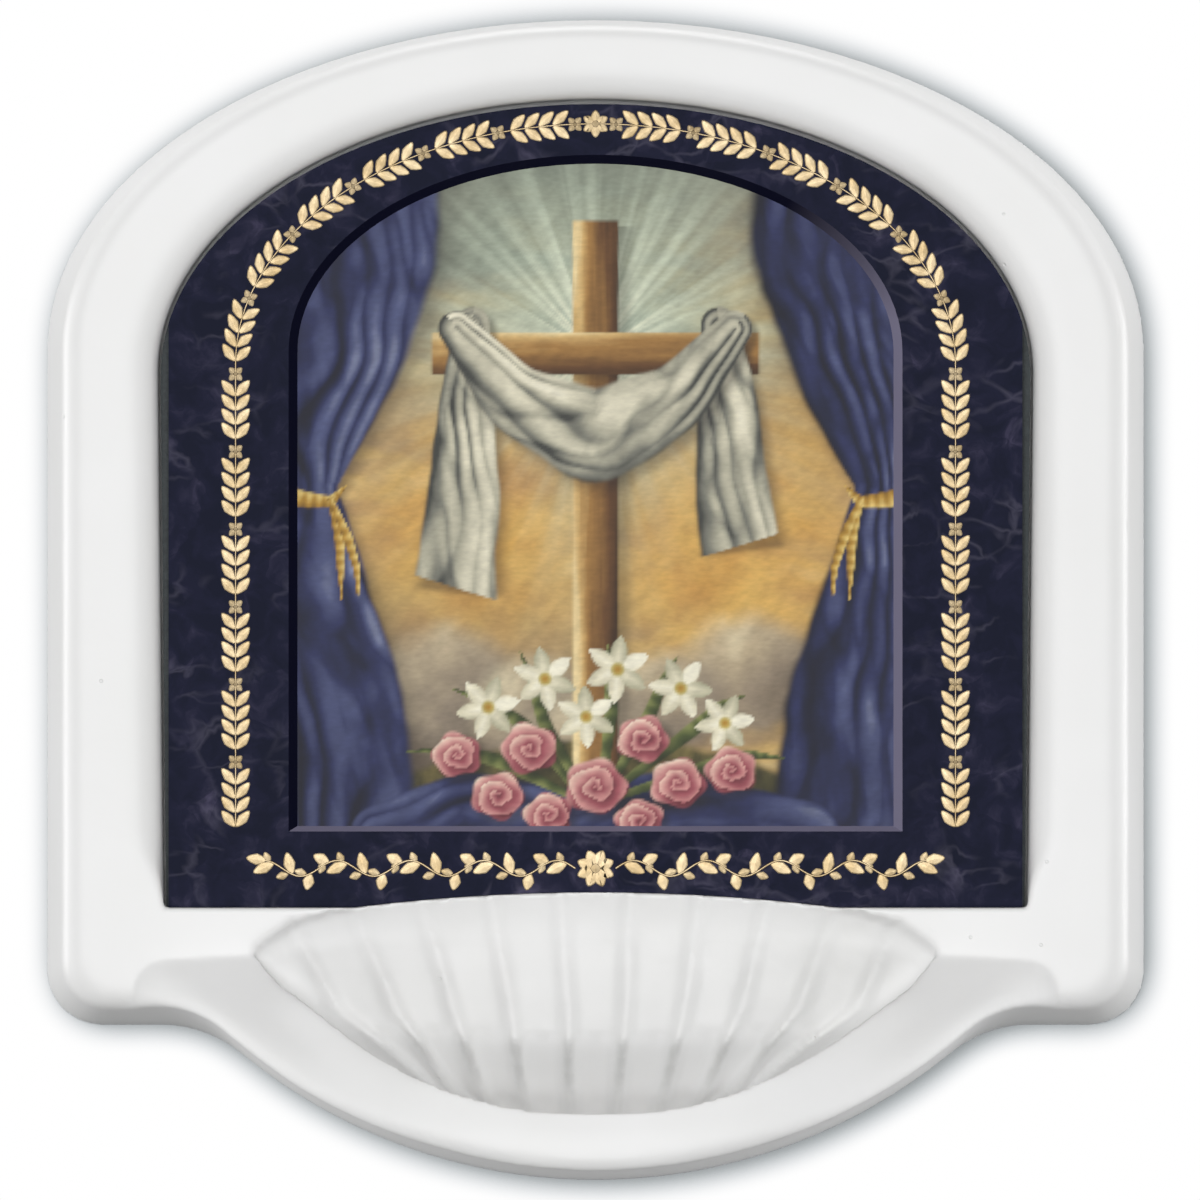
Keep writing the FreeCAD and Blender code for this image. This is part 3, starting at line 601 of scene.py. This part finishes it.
def puff(paint, x, z, places, seed, colours, rough=0.18):
    """Rounded cloud heads at (across, height, radius), lit from the upper left."""
    for number, (cx, cz, radius) in enumerate(places):
        ragged = rough * (cloudy(x, z, radius * 0.7, seed + number, 4) - 0.5) * 2
        away = np.hypot(x - cx, (z - cz) * 1.15) / radius + ragged
        light = 0.52 - 0.30 * (x - cx) / radius + 0.42 * (z - cz) / radius
        light += 0.5 * (cloudy(x, z, radius * 0.5, seed + 40 + number, 4) - 0.5)
        paint = lay(paint, tones(light, *colours), (1 - step_up(away, 0.55, 1.0)) * 0.92)
    return paint


def petal(x, z, root_x, root_z, angle, length, half):
    """How far out of a pointed petal a spot is, and its place along and across it."""
    turn = math.radians(angle)
    a = ((x - root_x) * math.cos(turn) + (z - root_z) * math.sin(turn)) / length
    b = (-(x - root_x) * math.sin(turn) + (z - root_z) * math.cos(turn)) / half
    shape = np.clip(np.sin(np.clip(a, 0, 1) * math.pi) ** 0.8, 0.001, 1)
    out = np.where((a > 0) & (a < 1), np.abs(b) / shape, 9.0)
    return out, a, b


def lily(paint, x, z, cx, cz, size, turn):
    for number in range(6):
        out, along, across = petal(x, z, cx, cz, turn + 60 * number, size, size * 0.27)
        light = 0.95 - 0.45 * along * (number % 2) - 0.35 * np.abs(across) + 0.2 * (number % 3 == 0)
        paint = lay(paint, tones(light, *LILY_WHITE), 1 - step_up(out, 0.75, 1.05))
    heart = np.hypot(x - cx, z - cz) / (size * 0.24)
    return lay(paint, tones(heart, (0.0, "#B07B22"), (1.0, "#C9C27A")), 1 - step_up(heart, 0.6, 1.1))


def rose(paint, x, z, cx, cz, size, seed):
    """A full rose: petals curl round the heart in a spiral, each dark at its root and pale at its edge."""
    dx, dz = (x - cx) / size, (z - cz) * 1.12 / size
    away, spin = np.hypot(dx, dz) + 1e-6, np.arctan2(dz, dx) + 1.9 * seed
    ragged = 0.09 * np.sin(3 * spin + 5 * away) + 0.05 * np.sin(5 * spin - 7 * away + seed)
    petals = 2.7 * away ** 0.85 - spin / (2 * math.pi) + ragged
    curl = petals - np.floor(petals)
    light = 0.26 + 0.52 * curl ** 1.3 - 0.20 * dx + 0.26 * dz - 0.16 * hump(away, 0, 0.22)
    light += 0.20 * (cloudy(x, z, 1.6, int(seed * 7), 2) - 0.5) - 0.20 * step_up(curl, 0.93, 1.0)
    outline = 0.92 + 0.07 * np.cos(5 * spin) + 0.03 * np.cos(3 * spin + seed)
    shadow = np.hypot(dx - 0.14, dz + 0.18)
    paint = lay(paint, solid(DARK_GLAZE), 0.5 * (1 - step_up(shadow, 0.75, 1.2)))
    return lay(paint, tones(light, *ROSE_PINK), 1 - step_up(away / outline, 0.90, 1.03))


def leaf_spray(paint, x, z, path, width, colours):
    t, across = along_cloth(x, z, path, [width * 0.5, width, width * 0.7, 0.1])
    vein = 0.55 - 0.35 * across + 0.15 * np.sin(t * 60)
    return lay(paint, tones(vein, *colours), 1 - step_up(np.abs(across), 0.7, 1.05))


def paint_sky(x, z):
    """Grey green above, gold in the middle, violet grey below, with long clouds and the radiance of the cross."""
    up = (z - WINDOW_FOOT) / WINDOW_RISE
    drift = cloudy(x * 0.55 + z * 0.25, z * 1.1, 24, 11, 5) - 0.5
    sky = up + 0.34 * drift
    paint = tones(sky, (0.0, "#5C5148"), (0.14, "#8A7C70"), (0.30, "#B69B6C"), (0.46, "#D8A24A"), (0.60, "#CA9E58"),
                  (0.76, "#A0927A"), (0.92, "#85847A"), (1.05, "#6E7069"))
    cool = step_up(np.abs(x) / 47 + 0.8 * (cloudy(x, z, 17, 15, 4) - 0.5), 0.55, 1.15)
    paint = lay(paint, tones(cloudy(x * 0.5, z, 14, 17, 4), (0.3, "#7A7168"), (0.7, "#A99A8C")), 0.75 * cool)
    # long soft clouds, lit from the upper left
    banks = cloudy(x * 0.5 + 0.3 * z, z * 1.2, 21, 21, 5)
    lower = cloudy((x + 1.6) * 0.5 + 0.3 * (z - 2.0), (z - 2.0) * 1.2, 21, 21, 5)
    glint = 0.5 + 4.0 * (banks - lower)
    bank_paint = tones(glint, (0.0, "#80706A"), (0.35, "#A98F72"), (0.65, "#D9B675"), (1.0, "#F0DCAC"))
    paint = lay(paint, bank_paint, 0.75 * step_up(banks, 0.46, 0.62) * (1 - step_up(up, 0.74, 1.0)))
    # the radiance behind the cross, pale turquoise with fine rays
    away = np.hypot(x, (z - CROSSING) * 0.95)
    around = np.arctan2(z - CROSSING, x)
    rays = (cloudy(np.cos(around) * 60, np.sin(around) * 60, 4.0, 25, 3) * 0.7
            + cloudy(around * 60, away * 0.2, 3.0, 27, 2) * 0.3)
    paint = lay(paint, tones(rays, (0.3, "#8FA39A"), (0.7, "#B9CBC0")),
                0.95 * hump(away, 0, 30, 2.2) * (0.55 + 0.9 * rays))
    paint = lay(paint, tones(rays, (0.3, "#CBD9CD"), (0.7, "#F1F3E2")),
                hump(away, 0, 15, 1.8) * (0.6 + 0.6 * rays))
    # gold glow low on both sides of the upright
    for cx, cz, size in ((19, -54, 17), (-18, -50, 16)):
        paint = lay(paint, tones(cloudy(x, z, 9, 29, 4), (0.3, "#C88C34"), (0.7, "#E9BA62")),
                    0.75 * hump(np.hypot(x - cx, (z - cz) * 0.8), 0, size, 2.4))
    return puff(paint, x, z, [(-24, -76, 13), (-9, -80, 12), (25, -74, 13), (11, -79, 12), (0, -84, 12)], 31, MIST)


def paint_cross(paint, x, z):
    """A hillock, and on it a cross of bevelled timber, lit from the left."""
    mound = -84 + 0.006 * x * x * -1 + 3.5 * (cloudy(x, z, 12, 45, 3) - 0.5)
    turf = 0.5 + 1.2 * (cloudy(x * 1.6, z * 0.7, 4, 47, 4) - 0.5) + 0.03 * (z - mound)
    paint = lay(paint, tones(turf, (0.0, "#26281A"), (0.45, "#4E4A30"), (0.8, "#7D7148"), (1.0, "#A39160")),
                1 - step_up(z - mound, -0.8, 0.8))
    grain = cloudy(x * 3, z * 0.25, 6, 61, 4)
    side = x / POST_HALF
    light = 0.50 - 0.42 * side + 0.55 * (grain - 0.5)
    post = (1 - step_up(np.abs(side), 0.92, 1.03)) * step_up(z, -92, -91) * (1 - step_up(z, -2.2, -1.6))
    cast = (1 - step_up(np.abs(x - 1.6) / POST_HALF, 0.7, 1.4)) * (z < -3) * (z > -90)
    paint = lay(paint, solid(DARK_GLAZE), 0.45 * cast)
    paint = lay(paint, tones(light, *TIMBER), post)
    grain = cloudy(x * 0.25, z * 3, 6, 63, 4)
    rise = (z - CROSSING) / ARM_HALF
    light = 0.52 + 0.38 * rise - 0.004 * x + 0.55 * (grain - 0.5)
    arm = (1 - step_up(np.abs(rise), 0.92, 1.03)) * (1 - step_up(np.abs(x), 25.6, 26.2))
    paint = lay(paint, tones(light, *TIMBER), arm)
    # the arms shade the upright below them
    under = CROSSING - ARM_HALF
    shade = np.exp(-np.maximum(under - z, 0) / 2.2) * post * (z < under)
    return lay(paint, tones(shade, (0, "#2A1B12"), (1, "#20140D")), 0.6 * shade)


def paint_cloths(paint, x, z):
    """The white cloth over the arms, the curtains with their cords and the blue cloth at the foot."""
    # a deep swag between two tails
    paint = drape(paint, x, z, [(-19.5, -18.4), (-20.5, -32), (-21, -46), (-22.5, -62)], [3.0, 4.8, 6.0, 7.0],
                  1.5, 74, WHITE_CLOTH, 0.5, hem=1)
    paint = drape(paint, x, z, [(19.5, -18.4), (20.8, -30), (21.4, -42), (23, -55)], [3.0, 4.8, 6.0, 6.8],
                  1.5, 79, WHITE_CLOTH, 0.5, hem=-1)
    paint = drape(paint, x, z, [(-22, -19), (-13, -30), (0, -36.5), (13, -30), (22, -19)], [3.0, 5.6, 8.0, 5.6, 3.0],
                  1.7, 77, WHITE_CLOTH, 0.3)
    # blue curtains at both sides, drawn in with gold cords
    hang = [(39, 9), (39, -8), (42, -26), (46, -44), (44, -60), (40, -80), (39, -104)]
    for turn, seed in ((-1, 51), (1, 87)):
        paint = drape(paint, x, z, [(turn * a, b) for a, b in hang], [15, 15, 11, 5.0, 8.5, 11, 12], 2.4, seed,
                      BLUE_CLOTH, 0.8)
        cord = [(turn * 54, -42.5), (turn * 47, -46), (turn * 42, -46.5), (turn * 39.4, -43.8)]
        paint = leaf_spray(paint, x, z, cord, 1.5, STRAW)
        for drop in (0, 2.6):
            tassel = [(turn * 42, -46), (turn * (40.6 - drop / 2), -52), (turn * (40.4 - drop), -57),
                      (turn * (40.2 - drop), -62)]
            paint = leaf_spray(paint, x, z, tassel, 0.9, STRAW)
    return drape(paint, x, z, [(-34, -99), (-20, -95), (-4, -99), (12, -95), (34, -99)], [5, 6.5, 7, 6.5, 5],
                 1.4, 83, BLUE_CLOTH, 0.6)


def paint_flowers(paint, x, z):
    """Leaves that fan out from the foot of the cross, then lilies, then roses."""
    for root, tip, bend in (((-3, -92), (-23, -76), 2), ((-2, -92), (-12, -70), -1), ((1, -92), (2, -69), 1),
                            ((2, -92), (13, -71), 1), ((3, -92), (24, -77), 2), ((-4, -93), (-30, -86), 2),
                            ((4, -93), (30, -87), 2)):
        middle = ((root[0] + tip[0]) / 2 + bend, (root[1] + tip[1]) / 2 + bend)
        further = ((middle[0] + tip[0]) / 2, (middle[1] + tip[1]) / 2 + 1)
        paint = leaf_spray(paint, x, z, [root, middle, further, tip], 1.3, LEAF_GREEN)
    for cx, cz, size, turn in ((-17, -79, 5.2, 12), (-8, -74.5, 5.2, 40), (3.5, -73, 5.4, 25), (13.5, -76, 5.2, 55),
                               (20.5, -81.5, 4.8, 8), (-1.5, -80.5, 5.0, 33)):
        paint = lily(paint, x, z, cx, cz, size, turn)
    for cx, cz, size, seed in ((-22, -86.5, 4.3, 3), (21.5, -89, 4.5, 5), (7.5, -84, 4.5, 6), (-10.5, -85.5, 4.9, 1),
                               (13, -91, 4.8, 4), (-15.5, -93, 4.6, 8), (0, -91.5, 5.4, 2), (-7.5, -96, 4.2, 7),
                               (7, -97, 4.2, 9)):
        paint = rose(paint, x, z, cx, cz, size, seed)
    return paint


def painted_picture(x, z):
    """Linear colours of the picture at places on the sheet, in millimetres."""
    paint = paint_sky(x, z)
    for layer in (paint_cross, paint_cloths, paint_flowers):
        paint = layer(paint, x, z)
    # brush marks, a yellowed varnish and darker corners
    brush = cloudy(x * 0.7 + z * 0.7, (z - x) * 2.2, 4, 95, 3) - 0.5
    weave = cloudy(x, z, 1.2, 97, 2) - 0.5
    glaze = 1 + 0.26 * brush + 0.12 * weave - 0.16 * step_up(np.hypot(x / 47, (z + 45) / 55), 0.85, 1.35)
    return np.clip(paint * glaze[..., None] * np.array(VARNISH), 0, 1)


SHEET_FACE = 12.1          # depth of the sheet's front
SHEET_THICKNESS = 0.4
SHEET_HALF = 66.1
SHEET_FOOT = -109.15
SHEET_SPRING = -26.35      # the arch starts here
SHEET_RISE = 41.4
ARCH_HALF = 67.4           # the arch is an ellipse a little wider than the straight sides
SILL_HALF, SILL_RISE = 38.2, 2.4
FINE_FOOT = -99.0          # lowest row of the fine grid


def picture_print():
    """The sheet behind the mat: a fine grid over the window, coarse under the mat, with thickness."""
    fine, rows = ((276, 306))
    columns = np.concatenate([np.linspace(-1, -0.75, 4), np.linspace(-0.725, 0.725, fine), np.linspace(0.75, 1, 4)])
    levels = np.concatenate([np.linspace(SHEET_FOOT, -100, 4), np.linspace(-98.6, 8.2, rows),
                             np.linspace(9.2, SHEET_SPRING + SHEET_RISE - 0.15, 6)])
    deselect_all()
    bpy.ops.mesh.primitive_grid_add(x_subdivisions=len(columns) - 1, y_subdivisions=len(levels) - 1, size=2)
    sheet = bpy.context.object
    sheet.name = "painted_picture"
    # the even grid's points move to the wanted columns and levels
    even = raw_points(sheet)
    u = columns[np.rint((even[:, 0] + 1) / 2 * (len(columns) - 1)).astype(int)]
    z = levels[np.rint((even[:, 1] + 1) / 2 * (len(levels) - 1)).astype(int)]
    arch = np.sqrt(np.clip(1 - (np.maximum(z - SHEET_SPRING, 0) / SHEET_RISE) ** 2, 0, 1))
    x = u * np.minimum(ARCH_HALF * arch, SHEET_HALF)
    sill = SILL_RISE * np.clip(1 - (x / SILL_HALF) ** 2, 0, 1)
    z = z + sill * np.clip((FINE_FOOT - z) / (FINE_FOOT - SHEET_FOOT), 0, 1)
    put_points(sheet, x, np.full(len(x), SHEET_FACE), z)
    thicken(sheet, (0, SHEET_THICKNESS * MM, 0))
    across, depth, height = points_of(sheet)
    paint = np.ones((len(across), 4))
    paint[:, :3] = painted_picture(across, height)
    colours = sheet.data.color_attributes.new("paint", "FLOAT_COLOR", "POINT")
    colours.data.foreach_set("color", paint.astype(np.float32).ravel())
    give_finish(sheet, painted_print())
    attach(sheet, "root")
    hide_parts("picture_sheet")


# ---- gold ornament: a garland round the arch and a vine along the foot ----
MAT_FACE = 13.5            # depth of the mat's front


def gilt_leaf(across, up, turn, length, half, heights=(0.08, 0.20)):
    """A raised leaf with a middle ridge, flat on the XY plane in millimetres, with a sloping dark skirt."""
    deselect_all()
    bpy.ops.mesh.primitive_circle_add(vertices=12, radius=1.0, fill_type="TRIFAN")
    leaf = bpy.context.object
    for spot in leaf.data.vertices:
        x, y = spot.co.x, spot.co.y
        rim = math.hypot(x, y) > 0.5
        spot.co = ((0.5 + 0.5 * x) * length, y * half * (1 - 0.35 * abs(x)), heights[0] if rim else heights[1])
    # the skirt spreads 0.2 mm beyond the leaf all round
    thicken(leaf, (0, 0, -heights[0] - 0.01), widen=(1 + 0.40 / length, 1 + 0.20 / half, 1),
            about=(length / 2, 0, 0))
    leaf.rotation_euler = (0, 0, math.radians(turn))
    leaf.location = (across, up, 0)
    bpy.ops.object.transform_apply(location=True, rotation=True, scale=True)
    return leaf


def gilt_stem(points, radius):
    """A thin round stem through points on the XY plane."""
    data = bpy.data.curves.new("stem", "CURVE")
    data.dimensions = "3D"
    line = data.splines.new("POLY")
    line.points.add(len(points) - 1)
    for spot, (x, y) in zip(line.points, points):
        spot.co = (x, y, 0.02, 1)
    data.bevel_depth = radius
    data.bevel_resolution = 1
    data.use_fill_caps = True
    make_active(new_object("stem", data))
    bpy.ops.object.convert(target="MESH")
    return bpy.context.object


def joined(pieces):
    deselect_all()
    for piece in pieces:
        piece.select_set(True)
    bpy.context.view_layer.objects.active = pieces[0]
    bpy.ops.object.join()
    return pieces[0]


def rosette(across, up, size, petals, turn=0.0):
    """Round flower: petals about a bead."""
    flower = []
    for number in range(petals):
        angle = turn + 360 * number / petals
        spin = math.radians(angle)
        flower.append(gilt_leaf(across + 0.12 * size * math.cos(spin), up + 0.12 * size * math.sin(spin), angle,
                                0.88 * size, 0.30 * size))
    flower.append(gilt_leaf(across - 0.26 * size, up, 0, 0.52 * size, 0.26 * size, (0.16, 0.32)))
    return flower


def on_the_mat(piece, name, finishes):
    """Turns a flat ornament upright on to the mat's face, mirrors it and gives it its finishes."""
    flat = raw_points(piece)
    put_points(piece, flat[:, 0], MAT_FACE + flat[:, 2], flat[:, 1])
    piece.name = name
    apply_modifier(piece, "MIRROR", use_axis=(True, False, False), use_mirror_merge=False)
    face_outwards(piece)
    give_finish(piece, *finishes)
    for face in piece.data.polygons:
        # the skirts slope down to the card, so they face sideways more than forwards
        face.material_index = 1 if face.normal.y > -0.75 and len(face.vertices) == 4 else 0
    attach(piece, "root")


def arch_garland(finishes):
    """Laurel from both lower corners up the sides and over the arch, with a rosette at the crown."""
    spray_length, sprays = 12.6, 12
    half, rise, spring, start = 57.0, 37.9, -24.5, -98.3
    spray = []
    for number in range(4):
        x = 0.5 + 2.3 * number
        for side in (-1, 1):
            spray.append(gilt_leaf(x, side * 0.12, side * 40, 3.1, 0.66))
    spray += rosette(10.9, 0, 1.25, 4, 45)
    spray = joined(spray)
    arch = [(-half, start), (-half, spring)]
    arch += [(half * math.cos(t), spring + rise * math.sin(t)) for t in np.linspace(math.pi, math.pi / 2, 40)[1:]]
    lengths = np.concatenate([[0], np.cumsum([math.dist(a, b) for a, b in zip(arch, arch[1:])])])
    spacing = (lengths[-1] - 1.6) / sprays
    fine = np.linspace(0, lengths[-1], 400)
    middle_x = np.interp(fine, lengths, [x for x, y in arch])
    middle_y = np.interp(fine, lengths, [y for x, y in arch])
    copies = [gilt_stem(list(zip(middle_x[2::4], middle_y[2::4])), 0.15)]
    template = np.array([spot.co[:] for spot in spray.data.vertices])
    for number in range(sprays):
        copy = new_object("spray", spray.data.copy())
        place = np.clip(number * spacing + template[:, 0] * spacing / spray_length, 0.0, lengths[-1])
        x, y = np.interp(place, fine, middle_x), np.interp(place, fine, middle_y)
        ahead_x = np.interp(place + 0.3, fine, middle_x) - np.interp(place - 0.3, fine, middle_x)
        ahead_y = np.interp(place + 0.3, fine, middle_y) - np.interp(place - 0.3, fine, middle_y)
        length = np.hypot(ahead_x, ahead_y) + 1e-9
        bent = np.stack([x - ahead_y / length * template[:, 1], y + ahead_x / length * template[:, 1],
                         template[:, 2]], axis=1)
        copy.data.vertices.foreach_set("co", bent.astype(np.float32).ravel())
        copies.append(copy)
    bpy.data.objects.remove(spray)
    copies += rosette(-0.01, spring + rise, 2.0, 6, 90)
    on_the_mat(joined(copies), "gold_garland", finishes)


def foot_vine(finishes):
    """A waving vine with leaves both ways from a flower in the middle."""
    middle, swing, wave = -104.5, 1.25, 11.6
    path = [(x, middle + swing * math.sin(2 * math.pi * (x - 3.2) / wave)) for x in np.linspace(3.2, 52.4, 90)]
    pieces = [gilt_stem(path, 0.2)]
    for number in range(17):
        x = 4.6 + 2.9 * number
        slope = math.degrees(math.atan(swing * 2 * math.pi / wave * math.cos(2 * math.pi * (x - 3.2) / wave)))
        y = middle + swing * math.sin(2 * math.pi * (x - 3.2) / wave)
        side = 1 if number % 2 else -1
        long = 3.4 if (y - middle) * side < 0.3 else 2.5
        pieces.append(gilt_leaf(x, y, slope + side * 52, long, 0.78))
        pieces.append(gilt_leaf(x + 0.7, y, slope - side * 42, 1.7, 0.5))
    pieces.append(gilt_leaf(52.2, path[-1][1], 8, 3.0, 0.75))
    pieces += rosette(-0.01, middle, 2.9, 8, 22.5)
    on_the_mat(joined(pieces), "gold_vine", finishes)


cast_font()
picture_print()
foil = (foil_gold(), foil_dark_edge())
arch_garland(foil)
foot_vine(foil)
give_finish(parts["backing_board"], tempered_hardboard())
give_finish(parts["window_mat"], navy_marbled_card())
give_finish(parts["mounting_tape"], foam_tape())
give_finish(parts["hanger_plate"], zinc_plate())
give_finish(parts["hanger_screws"], screw_steel())


# ---- stage, light and camera ----
MIDDLE = -62.0             # height of the font's middle
HALF_WIDTH = 87.0
SPRINGING, ARCH_RISE = -22.5, 52.5
CORNER_HEIGHT, CORNER_RADIUS = -120.7, 8.7
BOWL_RADIUS = 88.8
NECK_HEIGHT, NECK_RADIUS = -149.4, 20.0
INSIDE = 0.983             # shrinks the outline by 1.5 mm all round


def wall_outline():
    """A line just inside the font's outline on the wall, anticlockwise from the right springing, in millimetres."""
    spots = [(HALF_WIDTH * math.cos(t), SPRINGING + ARCH_RISE * math.sin(t)) for t in np.linspace(0, math.pi, 61)]
    right = []
    # right half from the springing down to the bowl's lowest point: corner, neck, bowl
    for t in np.linspace(0, -math.pi / 2, 9):
        right.append((HALF_WIDTH - CORNER_RADIUS + CORNER_RADIUS * math.cos(t),
                      CORNER_HEIGHT + CORNER_RADIUS * math.sin(t)))
    bowl_z = BOTTOM + BOWL_RADIUS
    neck_x = math.sqrt((BOWL_RADIUS + NECK_RADIUS) ** 2 - (NECK_HEIGHT - bowl_z) ** 2)
    turn = math.atan2(bowl_z - NECK_HEIGHT, neck_x)
    for t in np.linspace(math.pi / 2, math.pi - turn, 9):
        right.append((neck_x + NECK_RADIUS * math.cos(t), NECK_HEIGHT + NECK_RADIUS * math.sin(t)))
    for t in np.linspace(-turn, -math.pi / 2, 30)[1:]:
        right.append((BOWL_RADIUS * math.cos(t), bowl_z + BOWL_RADIUS * math.sin(t)))
    left = [(-x, z) for x, z in right[:-1]]
    return [(INSIDE * x, INSIDE * (z - MIDDLE) + MIDDLE) for x, z in spots + left + right[::-1]]


def eye_rays(tree):
    """1 for rays from the camera and for those that metal or glass passes on, else 0."""
    path = add_node(tree, "LightPath")
    seen = add_node(tree, "Math", {0: path.outputs["Is Camera Ray"], 1: path.outputs["Is Glossy Ray"]},
                    operation="MAXIMUM")
    return add_node(tree, "Math", {0: seen.outputs["Value"], 1: path.outputs["Is Transmission Ray"]},
                    operation="MAXIMUM").outputs["Value"]


def studio_paint(name, bounce, painted_shadow=False):
    """Matt white paint. It shows as plain white; the wall's has a painted shadow, from ambient occlusion, hugging the
    piece that hangs on it.
    """
    finish, tree, shader, place = new_finish(name, 0.9)
    shader.inputs["Specular IOR Level"].default_value = 0.0
    shader.inputs["Base Color"].default_value = grey(bounce)
    shown = add_node(tree, "Emission", {"Color": grey(1.0), "Strength": 1.0})
    if painted_shadow:
        # the painted shadow leans to the lower right, as from a lamp at the upper left
        lean = add_node(tree, "CombineXYZ", {"X": -0.22, "Y": -1.0, "Z": 0.10})
        near = add_node(tree, "AmbientOcclusion", {"Distance": 5.5 * MM, "Normal": lean.outputs["Vector"]}, samples=24)
        shade = add_node(tree, "ValToRGB", {"Fac": near.outputs["AO"]}, stops=[
            (0.42, "#94989A"), (0.54, "#AEB3B5"), (0.68, "#D6D9DB"), (0.83, "#F3F4F5"), (0.94, "#FFFFFF")])
        tree.links.new(shade.outputs["Color"], shown.inputs["Color"])
    face = add_node(tree, "MixShader", {0: eye_rays(tree), 1: shader.outputs["BSDF"], 2: shown.outputs["Emission"]})
    # seen from behind or below it isn't there
    clear = add_node(tree, "BsdfTransparent")
    side = add_node(tree, "NewGeometry").outputs["Backfacing"]
    mixed = add_node(tree, "MixShader", {0: side, 1: face.outputs["Shader"], 2: clear.outputs["BSDF"]})
    tree.links.new(mixed.outputs["Shader"], tree.nodes["Material Output"].inputs["Surface"])
    return finish


def studio_wall():
    """A white wall with a hole where the piece hangs, so that its back can be seen too."""
    inner = wall_outline()
    gap = 0.05 * MM
    mesh = bmesh.new()
    near = [mesh.verts.new((x * MM, gap, z * MM)) for x, z in inner]
    far = []
    for x, z in inner:
        angle = math.atan2(z - MIDDLE, x)
        far.append(mesh.verts.new((4 * math.cos(angle), gap, 4 * math.sin(angle))))
    for i in range(len(inner)):
        j = (i + 1) % len(inner)
        mesh.faces.new((near[i], near[j], far[j], far[i]))
    data = bpy.data.meshes.new("studio_wall")
    mesh.to_mesh(data)
    mesh.free()
    if sum(face.normal.y for face in data.polygons) > 0:
        data.flip_normals()
    wall = new_object("studio_wall", data)
    data.materials.append(studio_paint("studio_wall_paint", 0.18, painted_shadow=True))
    return wall


def studio_floor():
    deselect_all()
    bpy.ops.mesh.primitive_plane_add(size=24, location=(0, -12, -0.6))
    floor = bpy.context.object
    floor.name = "studio_floor"
    floor.data.materials.append(studio_paint("studio_floor_paint", 0.15))


def studio_lamp(name, place, size, watts, wall=None):
    """A round soft lamp aimed at the piece; a wall that is given neither shows its light nor stops it."""
    light = bpy.data.lights.new(name, "AREA")
    light.shape = "DISK"
    light.size = size
    light.energy = watts
    holder = new_object(name, light)
    holder.location = place
    aim = Vector((0, 0, -0.06)) - Vector(place)
    holder.rotation_euler = aim.to_track_quat("-Z", "Y").to_euler()
    if wall:
        reach = bpy.data.collections.new(name + "_reach")
        reach.objects.link(wall)
        reach.collection_objects[0].light_linking.link_state = "EXCLUDE"
        holder.light_linking.receiver_collection = reach
        holder.light_linking.blocker_collection = reach


def studio_air():
    """Even grey air; metal, glass and the camera see it white."""
    world = bpy.data.worlds.new("studio_air")
    scene.world = world
    world.use_nodes = True
    air = world.node_tree
    tone = add_node(air, "Mix", {"Factor": eye_rays(air), "A": grey(0.10), "B": grey(1.0)}, data_type="RGBA")
    air.links.new(tone.outputs[2], air.nodes["Background"].inputs["Color"])


wall = studio_wall()
studio_floor()
studio_lamp("front_disc", (-0.10, -2.0, 0.05), 1.25, 33.2)
# these stand behind the wall's plane and graze the piece's edges, the last one lights its back
studio_lamp("left_side", (-1.05, 0.18, -0.02), 0.5, 5.3, wall)
studio_lamp("right_side", (1.05, 0.18, -0.02), 0.5, 5.8, wall)
studio_lamp("top", (0, 0.26, 0.86), 0.6, 4.6, wall)
studio_lamp("behind", (0, 1.8, -0.06), 0.3, 18.0, wall)
studio_air()

EYE_DISTANCE = 8.0
FRAME_WIDTH = 0.19034      # what the frame takes in at the wall
eye = bpy.data.cameras.new("long_lens")
eye.sensor_width = 36
eye.lens = eye.sensor_width * EYE_DISTANCE / FRAME_WIDTH
eye.clip_end = 20
camera = new_object("long_lens", eye)
camera.location = (0.71 * MM, -EYE_DISTANCE, MIDDLE * MM)
camera.rotation_euler = (math.pi / 2, 0, 0)
scene.camera = camera
scene.view_settings.view_transform = "Standard"
